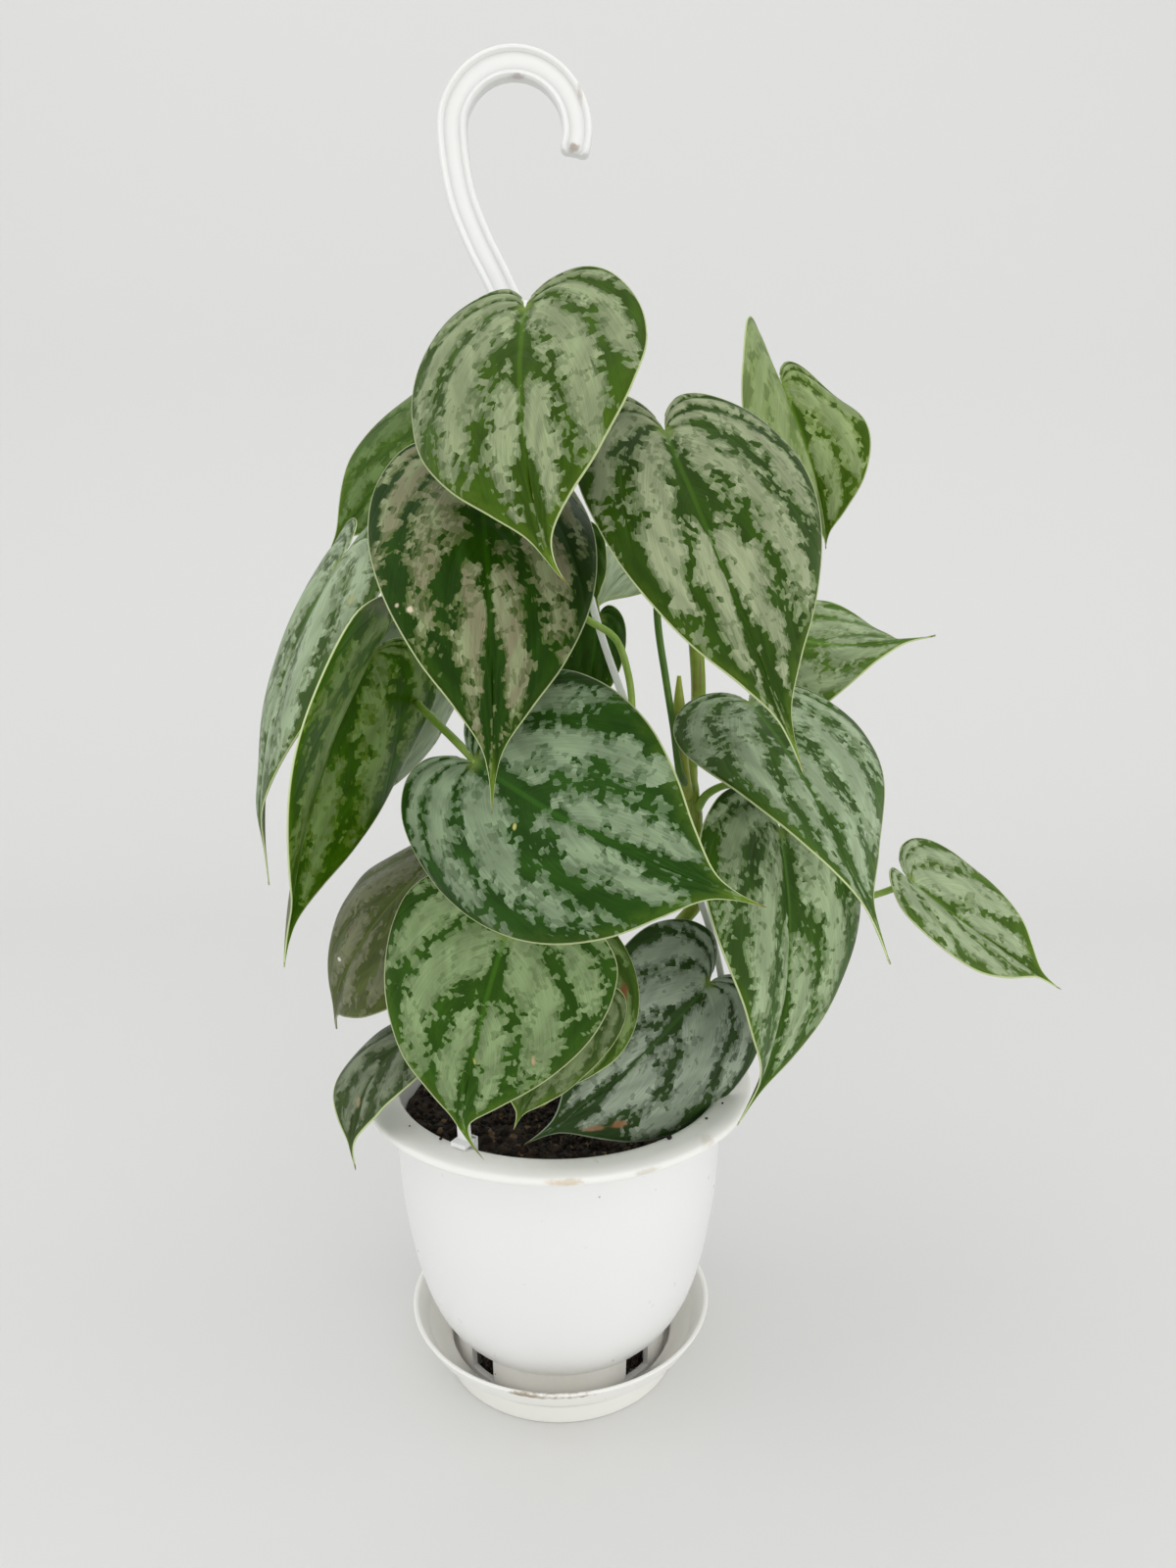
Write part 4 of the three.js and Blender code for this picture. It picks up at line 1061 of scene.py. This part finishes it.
def hook_bar():
    """Shaft and hook, with more and closer stations at the rounded tip."""
    route = [at(x, 0, z) for x, z in SHAFT_POINTS]
    for angle in range(HOOK_START_ANGLE, HOOK_TIP_ANGLE - 1, -HOOK_ANGLE_STEP):
        a = math.radians(angle)
        route.append(at(HOOK_CENTRE.x + HOOK_R * math.cos(a), 0, HOOK_CENTRE.z + HOOK_R * math.sin(a)))
    line = curve_points(route, 96)
    line = line[:-1] + [line[-2] + (line[-1] - line[-2]) * k / 8 for k in range(1, 9)]
    return sweep(line, hook_section(), at(0, 1, 0), HOOK_NOSE)


def hub():
    """The hub that the three arms come out of."""
    places, faces = turned(rounded([
        (0, -HUB_HEIGHT / 2), (HUB_R * 0.8, -HUB_HEIGHT / 2), (HUB_R, -HUB_HEIGHT / 4),
        (HUB_R, HUB_HEIGHT / 4), (HUB_R * 0.7, HUB_HEIGHT), (0, HUB_HEIGHT),
    ], 1.2), 48)
    return [Vector(p) + HUB for p in places], faces


def arm_with_clip(angle):
    """One arm's bars: a flat strap from the hub down, the clip's tab over the rim and its tongue inside."""
    half = [(1, 0.75), (0.7, 0.95), (0, 1), (-0.7, 0.95), (-1, 0.75)]
    strap = [
        (x * ARM_THICK / 2, y * ARM_WIDTH / 2) for x, y in [*half, *[(x, -y) for x, y in reversed(half)]]
    ]
    foot = at(math.cos(angle), math.sin(angle), 0) * (ARM_FOOT_R + CLIP_THICK)
    route = [
        at(HUB.x + share * (foot.x - HUB.x), HUB.y + share * (foot.y - HUB.y), z) for share, z in ARM_ROUTE
    ]
    low, high = RIM_TOP_Z + GAP, RIM_TOP_Z + GAP + CLIP_THICK
    middle = RIM_INNER_R + (CLIP_REACH - CLIP_THICK) / 2 - 1.2
    reach = (CLIP_REACH + CLIP_THICK) / 2
    tongue = POT_OUTER[-1][0] - POT_WALL - 2 * GAP - CLIP_THICK
    return [
        sweep(curve_points(route, 72), strap, at(-math.sin(angle), math.cos(angle), 0)),
        box((middle - reach, -CLIP_WIDTH / 2, low), (middle + reach, CLIP_WIDTH / 2, high), angle),
        box((tongue, -CLIP_WIDTH / 2, high - CLIP_DEPTH), (tongue + CLIP_THICK, CLIP_WIDTH / 2, high), angle),
    ]


hanger_parts = [hook_bar(), hub()]
for arm in range(ARM_COUNT):
    hanger_parts += arm_with_clip(arm * 2 * math.pi / ARM_COUNT)
hanger = add_mesh("hanger_body", *join(hanger_parts))
crease(hanger, 40)
place(hanger, [hanger_white], "pot_plastic", "hanger")


# Soil: a block with a rough top, and loose crumbs
def soil_height(x, y):
    """Height of the soil's top."""
    r = math.hypot(x, y) / SOIL_EDGE_R
    rough = noise.fractal(Vector((x, y, 0)) * 0.12, 1.0, 2.0, 4) * SOIL_ROUGH
    return SOIL_TOP_Z + SOIL_MOUND * (1 - r * r) - 1.2 + rough


def soil_block():
    """The block of soil inside the pot."""
    lower = [(0, FLOOR_Z + GAP), (POT_OUTER[0][0] - POT_WALL - GAP - 0.3, FLOOR_Z + GAP)]
    lower += [(POT_OUTER[i][0] - POT_WALL - GAP, POT_OUTER[i][1]) for i in (2, 3, 5)]
    profile = [*lower, *[(SOIL_EDGE_R * (1 - i / SOIL_RINGS), SOIL_TOP_Z) for i in range(SOIL_RINGS + 1)]]
    places, faces = turned(profile, SOIL_SIDES)
    return [(x, y, soil_height(x, y)) if z > SOIL_TOP_Z - 0.5 else (x, y, z) for x, y, z in places], faces


def crumb(spot, size, dice=None):
    """One crumb of soil: an icosahedron, dented and a little flat, turned at random if there are dice."""
    turn = Quaternion([dice.uniform(-1, 1) for _ in range(4)] if dice else (1, 0, 0, 0))
    turn = turn.normalized().to_matrix()
    g = (1 + 5 ** 0.5) / 2
    corners = [
        (-1, g, 0), (1, g, 0), (-1, -g, 0), (1, -g, 0), (0, -1, g), (0, 1, g), (0, -1, -g), (0, 1, -g),
        (g, 0, -1), (g, 0, 1), (-g, 0, -1), (-g, 0, 1),
    ]
    faces = [
        (0, 11, 5), (0, 5, 1), (0, 1, 7), (0, 7, 10), (0, 10, 11), (1, 5, 9), (5, 11, 4), (11, 10, 2),
        (10, 7, 6), (7, 1, 8), (3, 9, 4), (3, 4, 2), (3, 2, 6), (3, 6, 8), (3, 8, 9), (4, 9, 5), (2, 4, 11),
        (6, 2, 10), (8, 6, 7), (9, 8, 1),
    ]
    places = []
    for corner in corners:
        p = Vector(corner) / 1.9 * size
        p *= 1 + 0.35 * noise.noise(Vector(corner) + spot)
        p.z *= 0.7
        places.append(turn @ p + spot)
    return places, faces


def crumbs(dice):
    """Loose crumbs all over the soil's top."""
    parts = []
    for _ in range(CRUMB_COUNT):
        r = CRUMB_REACH * dice.random() ** 0.5
        a = dice.uniform(0, 2 * math.pi)
        x, y = r * math.cos(a), r * math.sin(a)
        size = dice.choice(CRUMB_SIZES)
        parts.append(crumb(at(x, y, soil_height(x, y) + size * 0.2), size, dice))
    return join(parts)


def fallen(dice):
    """Soil that has come through the pot's floor and lies behind the drain slots."""
    parts = []
    for k in range(FALLEN_COUNT):
        size = dice.uniform(1.0, 2.3)
        r = FALLEN_R - FALLEN_DEPTH * dice.random() ** 1.4
        z = FOOT_Z + size + 11 * dice.random() * clamp((r - 28) / 8)
        spot = Matrix.Rotation(SLOT_ANGLES[k % 4], 3, "Z") @ at(r, dice.uniform(-7.5, 7.5), z)
        parts.append(crumb(spot, size, dice))
    return join(parts)


def spilled():
    """A few crumbs on the pot's lip."""
    return join([crumb(at(x, y, RIM_TOP_Z + size * 0.3), size) for x, y, size in SPILLED])


place(add_mesh("soil_block", *soil_block()), [soil_dark], "soil", "soil")
place(add_mesh("soil_crumbs", *crumbs(random.Random(CRUMB_SEED))), [soil_dark], "soil")
place(add_mesh("soil_fallen", *fallen(random.Random(FALLEN_SEED))), [soil_dark], "soil")
place(add_mesh("soil_spilled", *spilled()), [soil_dark], "soil")


# Stage: a pale seamless floor and wall, four lamps, a pale world and the camera
def backdrop(half_width=2600, near=-1500, bend=500, top=2600, steps=20):
    """A floor that sweeps up into a wall behind."""
    section = [(near, 0), (-600, 0), (0, 0), (bend, 0)]
    angles = [math.pi / 2 * i / steps for i in range(1, steps + 1)]
    section += [(bend + bend * math.sin(a), bend - bend * math.cos(a)) for a in angles]
    section += [(2 * bend, top)]
    places = [(x, y, z) for y, z in section for x in (-half_width, half_width)]
    faces = [(2 * i, 2 * i + 1, 2 * i + 3, 2 * i + 2) for i in range(len(section) - 1)]
    return places, faces


def soft_light(name, spot, size, power, colour):
    """A large lamp aimed at the middle of the plant."""
    lamp = bpy.data.lights.new(name, "AREA")
    lamp.shape = "RECTANGLE"
    lamp.size, lamp.size_y = size
    lamp.energy = power
    lamp.color = colour
    made = bpy.data.objects.new(name, lamp)
    made.location = Vector(spot) * MM
    made.rotation_euler = (Vector((0, 0, 200)) - Vector(spot)).to_track_quat("-Z", "Y").to_euler()
    bpy.context.scene.collection.objects.link(made)


floor = add_mesh("floor", *backdrop())
grey = Shader("floor grey")
floor.data.materials.append(grey.end(grey.skin(Base_Color=(0.75, 0.75, 0.745), Roughness=0.7)))

soft_light("top", (-100, -200, 1600), (2.2, 1.8), 6.6, (1.0, 1.0, 1.0))
soft_light("front", (400, -1500, 600), (1.6, 1.4), 6.2, (1.0, 0.99, 0.98))
soft_light("left", (-1300, -200, 600), (1.0, 1.2), 2.5, (0.98, 0.99, 1.0))
soft_light("right", (1300, -200, 600), (1.0, 1.2), 2.5, (1.0, 1.0, 0.99))

world = bpy.data.worlds.new("studio")
world.use_nodes = True
background = next(n for n in world.node_tree.nodes if n.type == "BACKGROUND")
background.inputs["Color"].default_value = (1.0, 1.0, 0.99, 1)
background.inputs["Strength"].default_value = 0.7
bpy.context.scene.world = world
bpy.context.scene.view_settings.view_transform = "Standard"

camera_data = bpy.data.cameras.new("camera")
camera_data.sensor_width = 36
camera_data.lens = CAMERA_LENS
camera_data.clip_start = 0.01
camera_data.clip_end = 20
camera = bpy.data.objects.new("camera", camera_data)
camera.location = Vector(CAMERA_PLACE) * MM
camera.rotation_mode = "QUATERNION"
look = Quaternion((1, 0, 0), math.radians(90 - CAMERA_PITCH))
camera.rotation_quaternion = look @ Quaternion((0, 0, 1), math.radians(CAMERA_ROLL))
bpy.context.scene.collection.objects.link(camera)
bpy.context.scene.camera = camera
